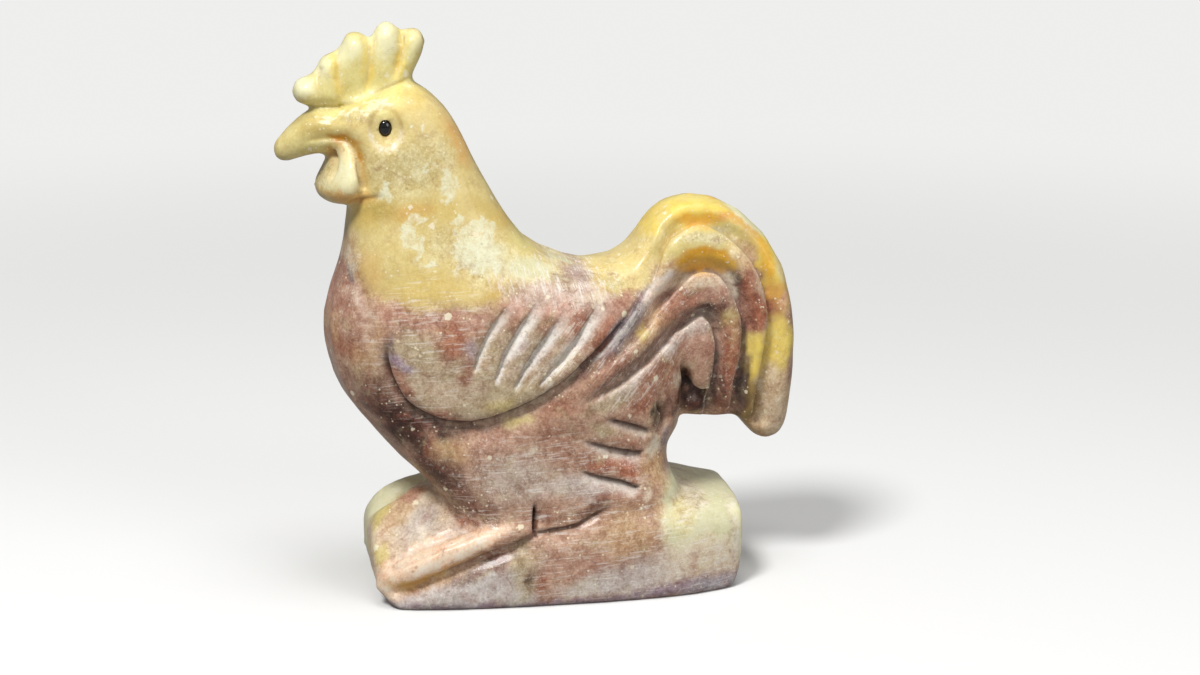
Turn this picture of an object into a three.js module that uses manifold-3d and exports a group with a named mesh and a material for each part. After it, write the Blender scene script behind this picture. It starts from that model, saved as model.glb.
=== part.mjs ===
// A rooster carved from one small block of marbled soapstone, standing on a split log, with a
// black bead let into each eye. Millimetres, +Z up, beak towards -X, left flank towards -Y.

import * as THREE from "three";
import { mergeVertices } from "three/addons/utils/BufferGeometryUtils.js";
import Module from "manifold-3d";

// The log that the bird stands on.
const LOG_HEIGHT = 9.6; // table to the crown of the log
const LOG_HALF = 9.3; // half the width of the log
const GROOVE_DEPTH = 1.9; // split along the front of the crown
const LEG_RADIUS = 0.95; // leg lying along the front of the log
const LEG_REACH = -14.2; // past here the leg runs straight on, off the rounded corner

// The bird. Each centre is measured from the middle of the log and from its crown.
const BODY_BACK = -4.0; // middle of the wing behind the middle of the log
const BODY_RISE = 12.4;
const BODY_HALF = 8.9; // half the thickness of the breast
const HEAD_BACK = -12.0;
const HEAD_RISE = 30.4;
const HEAD_HALF = 4.9;
const TAIL_BACK = 14.0;
const TAIL_RISE = 12.4;
const TAIL_HALF = 4.5;

// The head's furniture.
const COMB_HALF = 1.9; // half the thickness of the comb
const LOBE_HALF = 1.2; // half the width of one lobe of the comb, seen from the side
const BEAK_HALF = 2.7;
const WATTLE_HALF = 4.9;
const EYE_DISH = 1.5; // radius of the countersunk ring round the eye
const EYE_DISH_DEPTH = 0.5;
const EYE_BORE = 0.65; // radius of the hole drilled for the bead
const EYE_BORE_DEPTH = 1.3; // below the floor of the dish
const BEAD_GAP = 0.05; // all round the bead
const BEAD_PROUD = 0.12; // the bead's dome over the floor of the dish

// Cuts of the knife.
const WING_CUT = 0.95; // depth under the wing
const FEATHER_CUT = 0.85; // depth beside a tail feather
const SLIT_CUT = 0.6; // depth of a short gouge in the wing or the thigh
const FOLD_CUT = 1.0; // depth of the folds at the leg

const RING = 22; // points round a big section
const STEP = 1.4; // length of one step along a cut
const FOOT_LIFT = 0.08; // a cut's edges over the skin, so that it breaks out cleanly

const wasm = await Module();
wasm.setup();

const body = { x: BODY_BACK, z: LOG_HEIGHT + BODY_RISE };
const head = { x: HEAD_BACK, z: LOG_HEIGHT + HEAD_RISE };
const tail = { x: TAIL_BACK, z: LOG_HEIGHT + TAIL_RISE };
const log = { x: 0, z: 0 };

// A manifold solid from a closed three.js geometry, turned inside out when it needs to be.
function solid(geometry) {
  const bare = geometry.clone();
  bare.deleteAttribute("normal");
  bare.deleteAttribute("uv");
  const merged = mergeVertices(bare, 1e-4);
  const vertProperties = merged.attributes.position.array;
  const triVerts = new Uint32Array(merged.index.array);
  const made = new wasm.Manifold(new wasm.Mesh({ numProp: 3, vertProperties, triVerts }));
  if (made.volume() > 0) {
    return made;
  }
  for (let i = 0; i < triVerts.length; i += 3) {
    triVerts.subarray(i, i + 3).reverse();
  }
  return new wasm.Manifold(new wasm.Mesh({ numProp: 3, vertProperties, triVerts }));
}

// The three.js geometry of a manifold solid.
function geometryOf(shape) {
  const mesh = shape.getMesh();
  const geometry = new THREE.BufferGeometry();
  const positions = new THREE.BufferAttribute(new Float32Array(mesh.vertProperties), 3);
  geometry.setAttribute("position", positions);
  geometry.setIndex(new THREE.BufferAttribute(new Uint32Array(mesh.triVerts), 1));
  geometry.computeVertexNormals();
  return geometry;
}

// A closed skin over rings of [x, y, z] points, with a fan on each end ring.
function loft(rings) {
  const count = rings[0].length;
  const points = rings.flat();
  const faces = [];
  for (let r = 0; r + 1 < rings.length; r += 1) {
    for (let k = 0; k < count; k += 1) {
      const a = r * count + k;
      const b = r * count + ((k + 1) % count);
      faces.push(a, b, b + count, a, b + count, a + count);
    }
  }
  [0, rings.length - 1].forEach((r, end) => {
    const middle = [0, 1, 2].map((i) => rings[r].reduce((sum, p) => sum + p[i], 0) / count);
    const centre = points.push(middle) - 1;
    for (let k = 0; k < count; k += 1) {
      const a = r * count + k;
      const b = r * count + ((k + 1) % count);
      faces.push(...(end ? [a, b, centre] : [b, a, centre]));
    }
  });
  const geometry = new THREE.BufferGeometry();
  geometry.setAttribute("position", new THREE.Float32BufferAttribute(points.flat(), 3));
  geometry.setIndex(faces);
  return solid(geometry);
}

// A smooth blend between neighbouring rows of numbers.
function blend(rows, position) {
  const index = Math.min(Math.floor(position), rows.length - 2);
  const t = position - index;
  const pick = (k) => rows[THREE.MathUtils.clamp(k, 0, rows.length - 1)];
  const [a, b, c, d] = [index - 1, index, index + 1, index + 2].map(pick);
  return b.map((value, k) => {
    const slope = c[k] - a[k];
    const curve = 2 * a[k] - 5 * value + 4 * c[k] - d[k];
    const twist = 3 * value - a[k] - 3 * c[k] + d[k];
    return value + 0.5 * t * (slope + t * (curve + t * twist));
  });
}

// The same rows blended into a chosen number of rings.
function refine(rows, count) {
  return Array.from({ length: count }, (_, k) => blend(rows, ((rows.length - 1) * k) / (count - 1)));
}

// Rows of side-view sections moved to their place: front x and z, back x and z, half
// thickness as a share of the named one, and how square the section is where it differs.
function sections(place, half, square, rows) {
  return rows.map(([x0, z0, x1, z1, share, own]) => {
    return [place.x + x0, place.z + z0, place.x + x1, place.z + z1, share * half, own ?? square];
  });
}

// A ring round one section. A flare above zero makes its back fuller than its front.
function ring([x0, z0, x1, z1, half, square], flare, count) {
  const points = [];
  for (let k = 0; k < count; k += 1) {
    const angle = (2 * Math.PI * k) / count;
    const along = Math.sign(Math.cos(angle)) * Math.abs(Math.cos(angle)) ** (2 / square);
    const across = Math.sign(Math.sin(angle)) * Math.abs(Math.sin(angle)) ** (2 / square);
    const back = (1 + along) / 2;
    const x = x0 + (x1 - x0) * back;
    const z = z0 + (z1 - z0) * back;
    points.push([x, half * across * (1 + flare * along), z]);
  }
  return points;
}

function mass(rows, rings, { flare = 0, points = RING } = {}) {
  return loft(refine(rows, rings).map((row) => ring(row, flare, points)));
}

function union(shapes) {
  return shapes.reduce((sum, shape) => sum.add(shape));
}

// The log: x, share of the half width, shares of the height at its crown and its underside.
const logRows = [
  [-15.0, 0.39, 0.52, 0.33],
  [-14.75, 0.6, 0.66, 0.2],
  [-14.1, 0.775, 0.8, 0.09],
  [-13.2, 0.855, 0.89, 0],
  [-11.5, 0.91, 0.95, 0],
  [-8, 0.965, 0.99, 0],
  [-2, 1, 1, 0],
  [5, 1, 1, 0],
  [10, 0.965, 0.955, 0],
  [13, 0.915, 0.9, 0],
  [15.4, 0.83, 0.845, 0],
  [16.7, 0.765, 0.825, 0],
  [17.2, 0.73, 0.815, 0.08],
  [17.6, 0.69, 0.8, 0.22],
  [17.85, 0.62, 0.77, 0.38],
];
// Half of its section: share of the half width, share of the height.
const logSection = [
  [0, 0],
  [0.96, 0],
  [0.98, 0.05],
  [0.99, 0.2],
  [1, 0.45],
  [0.99, 0.63],
  [0.955, 0.76],
  [0.88, 0.86],
  [0.72, 0.94],
  [0.45, 0.985],
  [0, 1],
];

function logRing([x, width, crown, underside]) {
  const near = logSection.map(([a, b]) => {
    return [x, -a * width * LOG_HALF, (underside + (crown - underside) * b) * LOG_HEIGHT];
  });
  const far = near.slice(1, -1).map(([px, py, pz]) => [px, -py, pz]);
  return near.concat(far.reverse());
}

// The facet that slopes from the crown down to the leg, as a block standing on its plane.
function facet(side) {
  const size = 40;
  const corner = new THREE.Vector3(-15, side * 0.86 * LOG_HALF, 0.19 * LOG_HEIGHT);
  const along = new THREE.Vector3(11.5, side * 0.07 * LOG_HALF, 0.53 * LOG_HEIGHT);
  const inward = new THREE.Vector3(1, -side * 0.61 * LOG_HALF, 0.6 * LOG_HEIGHT);
  const up = new THREE.Vector3().crossVectors(along, inward).normalize();
  up.multiplyScalar(Math.sign(up.z));
  const turn = new THREE.Quaternion().setFromUnitVectors(new THREE.Vector3(0, 0, 1), up);
  const block = new THREE.BoxGeometry(size, size, size);
  block.applyQuaternion(turn);
  block.translate(...corner.addScaledVector(up, size / 2));
  return solid(block);
}

// The split along the crown, deepest at the front end.
function crownSplit() {
  const rings = [
    [-17, 1.7],
    [-14.4, 1.4],
    [-11, 0.6],
    [-7, 0.05],
  ].map(([x, share]) => {
    const deep = share * GROOVE_DEPTH;
    const floor = LOG_HEIGHT * (0.79 + 0.012 * (x + 14)) + GROOVE_DEPTH - 0.7 - deep;
    const open = 1.25 * deep;
    const top = floor + 3 * GROOVE_DEPTH;
    return [
      [x, 0, floor],
      [x, open * 3, top],
      [x, -open * 3, top],
    ];
  });
  return loft(rings);
}

const rawLog = loft(logRows.map(logRing));
const splitLog = rawLog.subtract(facet(-1)).subtract(facet(1)).subtract(crownSplit());

// Breast, neck and head in one mass, from inside the log up to the crown of the head.
const birdRows = [
  ...sections(body, BODY_HALF, 2.7, [
    [-1.0, -17.7, 15.5, -18, 0.93, 4.5],
    [-3.2, -15.4, 16.1, -15.5, 0.965, 4.5],
    [-5, -12.9, 16.4, -12.8, 0.965, 4.2],
    [-6.3, -11.3, 15.6, -11.2, 0.955, 3.8],
    [-8.7, -9.1, 15.7, -9.1, 0.955, 3.2],
    [-11.1, -6.3, 17.1, -7, 0.965, 2.9],
    [-12.9, -4, 17.5, -4, 0.99],
    [-13.9, -1.4, 17.5, -1, 1],
    [-14.4, 1.3, 16.5, 2.2, 0.98],
    [-14.1, 4, 13.8, 5.1, 0.91],
    [-13.2, 6.5, 8, 6.6, 0.82],
  ]),
  ...sections(head, HEAD_HALF, 3.2, [
    [-4.5, -9.4, 12.1, -9.7, 1.36],
    [-4.2, -7.3, 10, -7.4, 1.24],
    [-4, -5.2, 8.3, -4.6, 1.13],
    [-4.3, -3, 6.8, -1.8, 1.05],
    [-4.8, -0.5, 5.8, 0.4, 1],
    [-5, 1.6, 4.6, 2.5, 0.92],
    [-4.6, 2.8, 3.1, 4, 0.76],
    [-3.4, 3.7, 1.7, 4.9, 0.46],
  ]),
];

// The tail: each section runs from the rim in to the underside.
const tailRows = sections(tail, TAIL_HALF, 3, [
  [-13, 6.4, -9, -6, 1.36],
  [-9.8, 6.8, -7, -6.5, 1.3],
  [-7, 7.1, -4.5, -7, 1.22],
  [-5.1, 8.4, -3, -7.2, 1.12],
  [-3.6, 10.7, -1.8, -7.4, 1.04],
  [-1.6, 12.1, -0.5, -7.6, 1],
  [1.5, 12.2, 0.5, -7.7, 0.98],
  [5, 10.3, 1.5, -7.8, 0.96],
  [7.8, 6.9, 2.5, -7.8, 0.93],
  [9.1, 2.3, 3.3, -7.7, 0.89],
  [9.3, -2, 4, -7.8, 0.84],
  [9, -6, 4.7, -8.4, 0.76],
  [8.6, -8.6, 5.6, -9.5, 0.6],
  [7.9, -9.7, 6.5, -10.0, 0.34],
]);

// The beak, from inside the head out to its tip.
const beakRows = sections(head, BEAK_HALF, 2.3, [
  [-2, 2.6, -2.6, -1, 1.5],
  [-4.6, 2.9, -4.4, -1.1, 1.25],
  [-6.4, 2.8, -5.6, -1, 1],
  [-7.5, 2.4, -7, -1.2, 0.83],
  [-8.6, 1.5, -8, -1.4, 0.67],
  [-9.4, 0.7, -8.8, -1.7, 0.52],
  [-10.0, 0, -9.6, -1.7, 0.34],
  [-10.3, -0.5, -10.1, -1.3, 0.16],
]);

const wattleRows = sections(head, WATTLE_HALF, 2.4, [
  [-5.0, 0.5, -3.2, 0.5, 0.62],
  [-5.5, -0.8, -3, -0.9, 0.82],
  [-5.9, -2, -2.8, -2.1, 0.94],
  [-6.5, -3.1, -2.7, -3.3, 1],
  [-6.9, -4.1, -2.8, -4.2, 0.94],
  [-6.3, -4.9, -3.5, -5.0, 0.7],
  [-5.6, -5.25, -4.3, -5.25, 0.35],
]);

// The web that the comb's lobes stand on.
const combRows = sections(head, COMB_HALF, 2.4, [
  [-8.2, 3.5, -8.3, 4.7, 0.5],
  [-7, 3.1, -7, 5.5, 0.82],
  [-5.8, 2.6, -5.6, 7.1, 0.84],
  [-4.3, 2.4, -4.3, 8.0, 0.84],
  [-2, 2.8, -1.7, 8.7, 0.84],
  [0, 3.6, 0.7, 8.0, 0.82],
  [1.0, 4.4, 1.6, 7.4, 0.6],
]);

// Root and tip of each lobe.
const lobes = [
  [-4.8, 3.9, -8.4, 4.4],
  [-4.9, 3.4, -5.2, 7.3],
  [-3.3, 3.4, -3.0, 9.2],
  [-1.3, 3.8, -0.2, 9.95],
  [0.05, 4.5, 2.2, 9.3],
];
// Along a lobe: share of its length, of its width and of the comb's thickness.
const lobeProfile = [
  [0, 0.95, 1],
  [0.35, 0.98, 1],
  [0.65, 1.02, 0.98],
  [0.86, 0.9, 0.88],
  [0.96, 0.62, 0.62],
  [1, 0.25, 0.25],
];

function lobe([x0, z0, x1, z1]) {
  const length = Math.hypot(x1 - x0, z1 - z0);
  const side = [(-(z1 - z0) * LOBE_HALF) / length, ((x1 - x0) * LOBE_HALF) / length];
  const rows = lobeProfile.map(([share, width, thick]) => {
    const x = head.x + x0 + (x1 - x0) * share;
    const z = head.z + z0 + (z1 - z0) * share;
    const [dx, dz] = side.map((d) => d * width);
    return [x - dx, z - dz, x + dx, z + dz, thick * COMB_HALF, 2.1];
  });
  return mass(rows, rows.length, { points: 12 });
}

const bird = union([
  mass(birdRows, 28),
  mass(tailRows, 20, { points: 18 }),
  mass(beakRows, beakRows.length, { points: 16 }),
  mass(wattleRows, 9, { flare: 0.32, points: 16 }),
  mass(combRows, combRows.length, { points: 12 }),
  ...lobes.map(lobe),
]);

// How deep into the view from the left flank a shape's surface lies at one x and z.
function sounding(shape) {
  const mesh = new THREE.Mesh(geometryOf(shape), new THREE.MeshBasicMaterial());
  mesh.updateMatrixWorld(true);
  const ray = new THREE.Raycaster();
  const inward = new THREE.Vector3(0, 1, 0);
  return (x, z) => {
    ray.set(new THREE.Vector3(x, -40, z), inward);
    const hits = ray.intersectObject(mesh);
    return hits.length ? hits[0].point.y : undefined;
  };
}

// Evenly spaced points along a smooth side-view path, with the direction of travel at each.
function trace(place, points, step) {
  const curve = new THREE.CatmullRomCurve3(
    points.map(([x, z]) => new THREE.Vector3(place.x + x, 0, place.z + z)),
    false,
    "centripetal",
  );
  const count = Math.max(4, Math.round(curve.getLength() / step));
  return Array.from({ length: count + 1 }, (_, k) => {
    return { at: curve.getPointAt(k / count), way: curve.getTangentAt(k / count), share: k / count };
  });
}

// A gouge along a path on the left flank: a steep wall on one side of the path and a ramp on
// the other, fading out at its ends. Wall 1 puts the wall on the left of travel in side view.
function gouge(surface, place, { points, depth, ramp, wall, fade = [0.3, 0.3], step = STEP }) {
  const rings = trace(place, points, step).map(({ at, way, share }) => {
    const rise = fade[0] ? Math.min(1, share / fade[0]) : 1;
    const fall = fade[1] ? Math.min(1, (1 - share) / fade[1]) : 1;
    const full = Math.max(0.04, Math.sin((Math.PI / 2) * Math.min(rise, fall)));
    const left = [-way.z * wall, way.x * wall];
    const steep = 0.25 * depth * full;
    const foot = { x: at.x - left[0] * ramp * full, z: at.z - left[1] * ramp * full };
    const brow = { x: at.x + left[0] * steep, z: at.z + left[1] * steep };
    const middle = surface(at.x, at.z);
    const level = middle === undefined ? -TAIL_HALF : middle;
    const footLevel = Math.min(surface(foot.x, foot.z) ?? level, level + 0.35 * ramp * full);
    const browLevel = surface(brow.x, brow.z) ?? level;
    return [
      [at.x, level + depth * full, at.z],
      [foot.x, footLevel - FOOT_LIFT, foot.z],
      [foot.x, footLevel - 3, foot.z],
      [brow.x, browLevel - 3, brow.z],
      [brow.x, browLevel - FOOT_LIFT, brow.z],
    ];
  });
  return loft(rings);
}

// The same cut or piece on the other flank.
function mirrored(shape) {
  const geometry = geometryOf(shape);
  geometry.scale(1, -1, 1);
  return solid(geometry);
}

function bothSides(shapes) {
  return union(shapes.flatMap((shape) => [shape, mirrored(shape)]));
}

// The leg lies along the lower edge of the facet.
const logFlank = sounding(rawLog);
const legPath = [
  [-1.5, 7.0],
  [-3.2, 6.7],
  [-4.9, 6.3],
  [-6.8, 5.8],
  [-9.4, 4.9],
  [-11.4, 4.0],
  [-13.2, 3.1],
  [-14.2, 2.3],
  [-14.8, 1.7],
];

function leg() {
  const rings = trace(log, legPath, 1.5).map(({ at, share }) => {
    const radius = LEG_RADIUS * Math.min(1, 0.6 + 3 * (1 - share));
    const middle = logFlank(Math.max(at.x, LEG_REACH), at.z) + 0.85 * LEG_RADIUS;
    return Array.from({ length: 10 }, (_, k) => {
      const angle = (2 * Math.PI * k) / 10;
      return [at.x, middle + radius * Math.cos(angle), at.z + radius * Math.sin(angle)];
    });
  });
  return loft(rings);
}

const blank = union([bird, splitLog, bothSides([leg()])]);

const flank = sounding(union([bird, rawLog]));

const wingCuts = [
  {
    points: [
      [-9.2, 3.0],
      [-9.5, 2.1],
      [-9.6, 1.2],
      [-9.6, 0.1],
      [-9.3, -1.0],
      [-8.8, -2.3],
      [-7.8, -3.7],
      [-6.5, -4.6],
      [-4.8, -5.2],
      [-3.6, -5.4],
      [-1.9, -5.3],
      [-0.1, -4.9],
      [1.6, -4.2],
      [3.3, -3.4],
      [5.0, -2.3],
      [6.3, -1.4],
      [7.7, -0.1],
      [8.6, 0.9],
      [10.0, 2.1],
      [11.4, 3.3],
      [12.3, 4.4],
      [13.3, 5.4],
    ],
    depth: WING_CUT,
    ramp: 2.6,
    wall: 1,
    fade: [0.25, 0.5],
  },
  ...[
    [
      [0.7, 5.1],
      [-0.1, 3.8],
      [-0.9, 2.6],
      [-1.6, 1.3],
      [-2.3, -0.7],
    ],
    [
      [3.4, 5.3],
      [2.7, 4.0],
      [1.6, 2.7],
      [0.4, 0.8],
      [-0.6, -1.9],
    ],
    [
      [5.6, 4.3],
      [4.2, 2.0],
      [3.1, 0.8],
      [2.0, -0.5],
      [1.1, -2.5],
    ],
    [
      [8.6, 4.6],
      [7.7, 3.4],
      [6.9, 2.2],
      [5.5, 0.4],
      [4.2, -0.6],
      [3.3, -2.1],
    ],
  ].map((points) => ({ points, depth: SLIT_CUT, ramp: 1.2, wall: -1, fade: [0.4, 0.25] })),
];

const tailCuts = [
  {
    points: [
      [-5.7, 4.4],
      [-4.7, 5.4],
      [-3.9, 6.1],
      [-3.2, 7.4],
      [-3.0, 8.4],
      [-2.5, 9.0],
      [-1.9, 9.5],
      [-1.0, 10.1],
      [0.1, 10.3],
      [1.3, 10.0],
      [2.4, 9.4],
      [3.6, 8.4],
      [4.6, 7.3],
      [5.5, 6.1],
      [5.9, 4.9],
      [6.3, 3.6],
      [6.5, 2.1],
      [6.4, 0.3],
      [6.1, -1.7],
      [5.7, -3.3],
      [5.6, -5.0],
      [5.5, -6.4],
      [5.3, -8.4],
    ],
    depth: FEATHER_CUT,
    ramp: 2.0,
    wall: -1,
    fade: [0.2, 0],
  },
  {
    points: [
      [-11.0, -2.2],
      [-9.4, -1.3],
      [-8.3, -0.5],
      [-7.1, 0.4],
      [-5.7, 1.5],
      [-4.7, 2.3],
      [-3.7, 3.2],
      [-2.5, 4.1],
      [-1.6, 5.2],
      [-0.9, 5.9],
      [-0.3, 6.2],
      [0.8, 6.2],
      [1.8, 5.9],
      [2.7, 5.1],
      [3.2, 4.0],
      [3.7, 3.0],
      [4.1, 1.3],
      [4.1, -0.3],
      [4.0, -1.5],
      [3.8, -2.7],
      [3.5, -4.0],
      [3.3, -5.2],
      [3.3, -6.3],
      [3.3, -8.0],
    ],
    depth: FEATHER_CUT,
    ramp: 1.6,
    wall: -1,
    fade: [0.3, 0],
  },
  {
    points: [
      [-12.3, -4.9],
      [-10.5, -4.0],
      [-9.0, -3.3],
      [-7.7, -2.7],
      [-6.1, -1.7],
      [-4.5, -0.6],
      [-2.7, 0.5],
      [-1.2, 1.5],
      [-0.2, 2.1],
      [0.5, 2.2],
      [1.2, 1.6],
      [1.6, 0.5],
      [1.7, -0.8],
      [1.6, -2.6],
      [1.4, -4.3],
      [1.2, -5.5],
      [1.1, -6.8],
      [1.0, -8.0],
    ],
    depth: 0.9 * FEATHER_CUT,
    ramp: 1.5,
    wall: -1,
    fade: [0.35, 0],
  },
  {
    points: [
      [-1.7, -1.7],
      [-1.4, -2.8],
      [-1.2, -3.8],
      [-1.2, -4.8],
      [-1.5, -5.9],
      [-1.7, -7.2],
    ],
    depth: 1.3 * FEATHER_CUT,
    ramp: 1.0,
    wall: -1,
    fade: [0.4, 0],
    step: 0.9,
  },
  {
    points: [
      [-4.2, -4.4],
      [-4.0, -5.2],
      [-3.6, -5.9],
      [-3.8, -6.7],
      [-4.3, -7.6],
    ],
    depth: FEATHER_CUT,
    ramp: 0.9,
    wall: -1,
    fade: [0.4, 0.3],
    step: 0.9,
  },
  {
    points: [
      [-1.2, -3.4],
      [-0.6, -4.1],
      [0.2, -4.7],
      [1.2, -4.8],
    ],
    depth: FEATHER_CUT,
    ramp: 2.2,
    wall: 1,
    fade: [0.25, 0.15],
    step: 0.9,
  },
];

const thighCuts = [
  {
    points: [
      [8.7, -5.4],
      [10.5, -6.0],
      [11.7, -6.5],
      [13.2, -7.1],
    ],
    depth: SLIT_CUT,
    ramp: 0.9,
    wall: 1,
    fade: [0.6, 0.2],
  },
  {
    points: [
      [6.7, -7.2],
      [8.5, -7.9],
      [10.5, -8.6],
      [12.6, -9.0],
    ],
    depth: SLIT_CUT,
    ramp: 1.1,
    wall: 1,
    fade: [0.6, 0.2],
  },
  {
    points: [
      [6.3, -9.9],
      [8.5, -10.7],
      [10.5, -11.3],
      [12.2, -11.9],
    ],
    depth: SLIT_CUT,
    ramp: 1.1,
    wall: 1,
    fade: [0.6, 0.2],
  },
];

const foldCuts = [
  {
    points: [
      [-0.8, 6.9],
      [-1.9, 6.3],
      [-3.2, 5.7],
      [-5.4, 5.0],
      [-7.8, 4.0],
      [-10.2, 3.0],
      [-12.5, 2.1],
      [-14.2, 1.4],
    ],
    depth: FOLD_CUT,
    ramp: 1.5,
    wall: -1,
    fade: [0.2, 0.1],
  },
  {
    points: [
      [-1.1, 9.6],
      [-1.2, 7.9],
      [-1.3, 6.4],
    ],
    depth: FOLD_CUT,
    ramp: 0.5,
    wall: -1,
    fade: [0.5, 0.3],
    step: 0.8,
  },
  {
    points: [
      [-1.2, 6.8],
      [0.8, 6.9],
      [2.5, 7.2],
      [3.7, 7.8],
      [5.2, 8.5],
      [6.5, 9.0],
    ],
    depth: 0.7 * FOLD_CUT,
    ramp: 1.6,
    wall: 1,
    fade: [0.15, 0.7],
  },
];

const faceCuts = [
  {
    points: [
      [-8.8, 0.0],
      [-7.4, 0.3],
      [-6.0, 0.5],
      [-4.9, 0.5],
      [-4.1, 0.1],
      [-3.5, -0.7],
      [-3.3, -1.8],
      [-3.1, -3.0],
      [-2.9, -4.0],
      [-3.5, -5.0],
    ],
    depth: 0.5,
    ramp: 1.0,
    wall: -1,
    fade: [0.5, 0.3],
    step: 0.9,
  },
  {
    points: [
      [-5.4, -0.5],
      [-5.3, -1.8],
      [-5.5, -3.2],
    ],
    depth: 0.55,
    ramp: 0.7,
    wall: 1,
    fade: [0.4, 0.5],
    step: 0.8,
  },
];

const cuts = bothSides([
  ...wingCuts.concat(thighCuts).map((cut) => gouge(flank, body, cut)),
  ...tailCuts.map((cut) => gouge(flank, tail, cut)),
  ...foldCuts.map((cut) => gouge(flank, log, cut)),
  ...faceCuts.map((cut) => gouge(flank, head, cut)),
]);

// The eye: a shallow dish with a drilled hole in its floor, and the bead that fills the hole.
const eye = { x: head.x - 1, z: head.z + 1.5 };
const dishFloor = flank(eye.x, eye.z) + EYE_DISH_DEPTH;
const boreEnd = dishFloor + EYE_BORE_DEPTH;

function turned(profile, segments) {
  const points = profile.map(([radius, y]) => new THREE.Vector2(radius, y));
  const geometry = new THREE.LatheGeometry(points, segments);
  geometry.translate(eye.x, 0, eye.z);
  return geometry;
}

// A lathe stands along +Y, which is already the way that the drill goes in.
const eyeHollow = solid(
  turned(
    [
      [0, dishFloor - 3],
      [EYE_DISH + 0.2, dishFloor - 3],
      [EYE_DISH, dishFloor - EYE_DISH_DEPTH],
      [0.92 * EYE_DISH, dishFloor - 0.35 * EYE_DISH_DEPTH],
      [0.75 * EYE_DISH, dishFloor - 0.05 * EYE_DISH_DEPTH],
      [EYE_BORE, dishFloor],
      [EYE_BORE, boreEnd],
      [0, boreEnd],
    ],
    24,
  ),
);

const beadRadius = EYE_BORE - BEAD_GAP;
const leftBead = solid(
  turned(
    [
      [0, dishFloor - BEAD_PROUD],
      [0.5 * beadRadius, dishFloor - 0.85 * BEAD_PROUD],
      [0.85 * beadRadius, dishFloor - 0.3 * BEAD_PROUD],
      [beadRadius, dishFloor + 0.5 * BEAD_PROUD],
      [beadRadius, boreEnd],
      [0, boreEnd],
    ],
    20,
  ),
);

const carving = blank.subtract(cuts).subtract(bothSides([eyeHollow]));

const pieces = [
  ["stone_carving", carving, new THREE.MeshStandardMaterial({ color: 0xb79a6a, roughness: 0.45 })],
  ["eye_inlay_left", leftBead, new THREE.MeshStandardMaterial({ color: 0x0b0a0a, roughness: 0.1 })],
  [
    "eye_inlay_right",
    mirrored(leftBead),
    new THREE.MeshStandardMaterial({ color: 0x0b0a0a, roughness: 0.1 }),
  ],
];

// The frame: the middle of the bounding box over the middle of the underside.
const box = carving.boundingBox();
const middle = (box.min[0] + box.max[0]) / 2;
const rooster = new THREE.Group();
rooster.name = "stone_rooster";
pieces.forEach(([name, shape, material]) => {
  const geometry = geometryOf(shape);
  geometry.translate(-middle, 0, -box.min[2]);
  const mesh = new THREE.Mesh(geometry, material);
  mesh.name = name;
  rooster.add(mesh);
});

export default rooster;
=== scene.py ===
# Looks for a small soapstone rooster on a split log: carved skin, marbled stone, black eye beads.

import math

import bmesh
import bpy
import numpy as np
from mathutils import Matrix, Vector, noise


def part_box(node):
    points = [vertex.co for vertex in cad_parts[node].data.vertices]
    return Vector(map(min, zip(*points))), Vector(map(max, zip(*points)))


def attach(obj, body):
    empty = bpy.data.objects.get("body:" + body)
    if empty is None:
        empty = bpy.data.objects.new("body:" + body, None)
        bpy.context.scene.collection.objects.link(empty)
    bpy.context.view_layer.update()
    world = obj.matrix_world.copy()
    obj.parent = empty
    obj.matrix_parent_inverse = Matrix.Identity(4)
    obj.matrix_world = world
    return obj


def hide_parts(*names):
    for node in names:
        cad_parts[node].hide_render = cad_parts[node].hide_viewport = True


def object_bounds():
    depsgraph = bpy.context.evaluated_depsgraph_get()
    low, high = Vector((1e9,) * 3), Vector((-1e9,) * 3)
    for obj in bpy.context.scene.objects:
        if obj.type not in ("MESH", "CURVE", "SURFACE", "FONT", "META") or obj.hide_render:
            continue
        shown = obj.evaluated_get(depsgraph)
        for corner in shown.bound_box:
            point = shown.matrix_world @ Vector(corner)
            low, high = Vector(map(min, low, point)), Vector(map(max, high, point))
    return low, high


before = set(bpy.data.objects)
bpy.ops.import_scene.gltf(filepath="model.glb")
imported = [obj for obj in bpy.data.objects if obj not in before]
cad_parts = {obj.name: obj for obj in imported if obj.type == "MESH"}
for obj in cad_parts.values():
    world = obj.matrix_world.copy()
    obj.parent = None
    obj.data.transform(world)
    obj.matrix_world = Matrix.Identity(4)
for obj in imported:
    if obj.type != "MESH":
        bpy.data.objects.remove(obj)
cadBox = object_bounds()
mm = 0.001

# Places in side view, in millimetres of the frame: where each group of cuts is measured from.
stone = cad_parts["stone_carving"]
lowCorner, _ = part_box("stone_carving")
logMiddle = lowCorner[0] / mm + 22.3  # the beak's tip is 22.3 mm ahead of the log's middle
places = {
    "log": (logMiddle, 0.0),
    "body": (logMiddle - 4.0, 22.0),
    "head": (logMiddle - 12.0, 40.0),
    "tail": (logMiddle + 14.0, 22.0),
}


def smoothStep(low, high, value):
    t = np.clip((value - low) / (high - low), 0.0, 1.0)
    return t * t * (3.0 - 2.0 * t)


def toLinear(red, green, blue):
    srgb = np.array([red, green, blue]) / 255.0
    return np.where(srgb <= 0.04045, srgb / 12.92, ((srgb + 0.055) / 1.055) ** 2.4)


# The skin: a fine even mesh over the solid, with its flat facets eased and its cuts made crisp.

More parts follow.
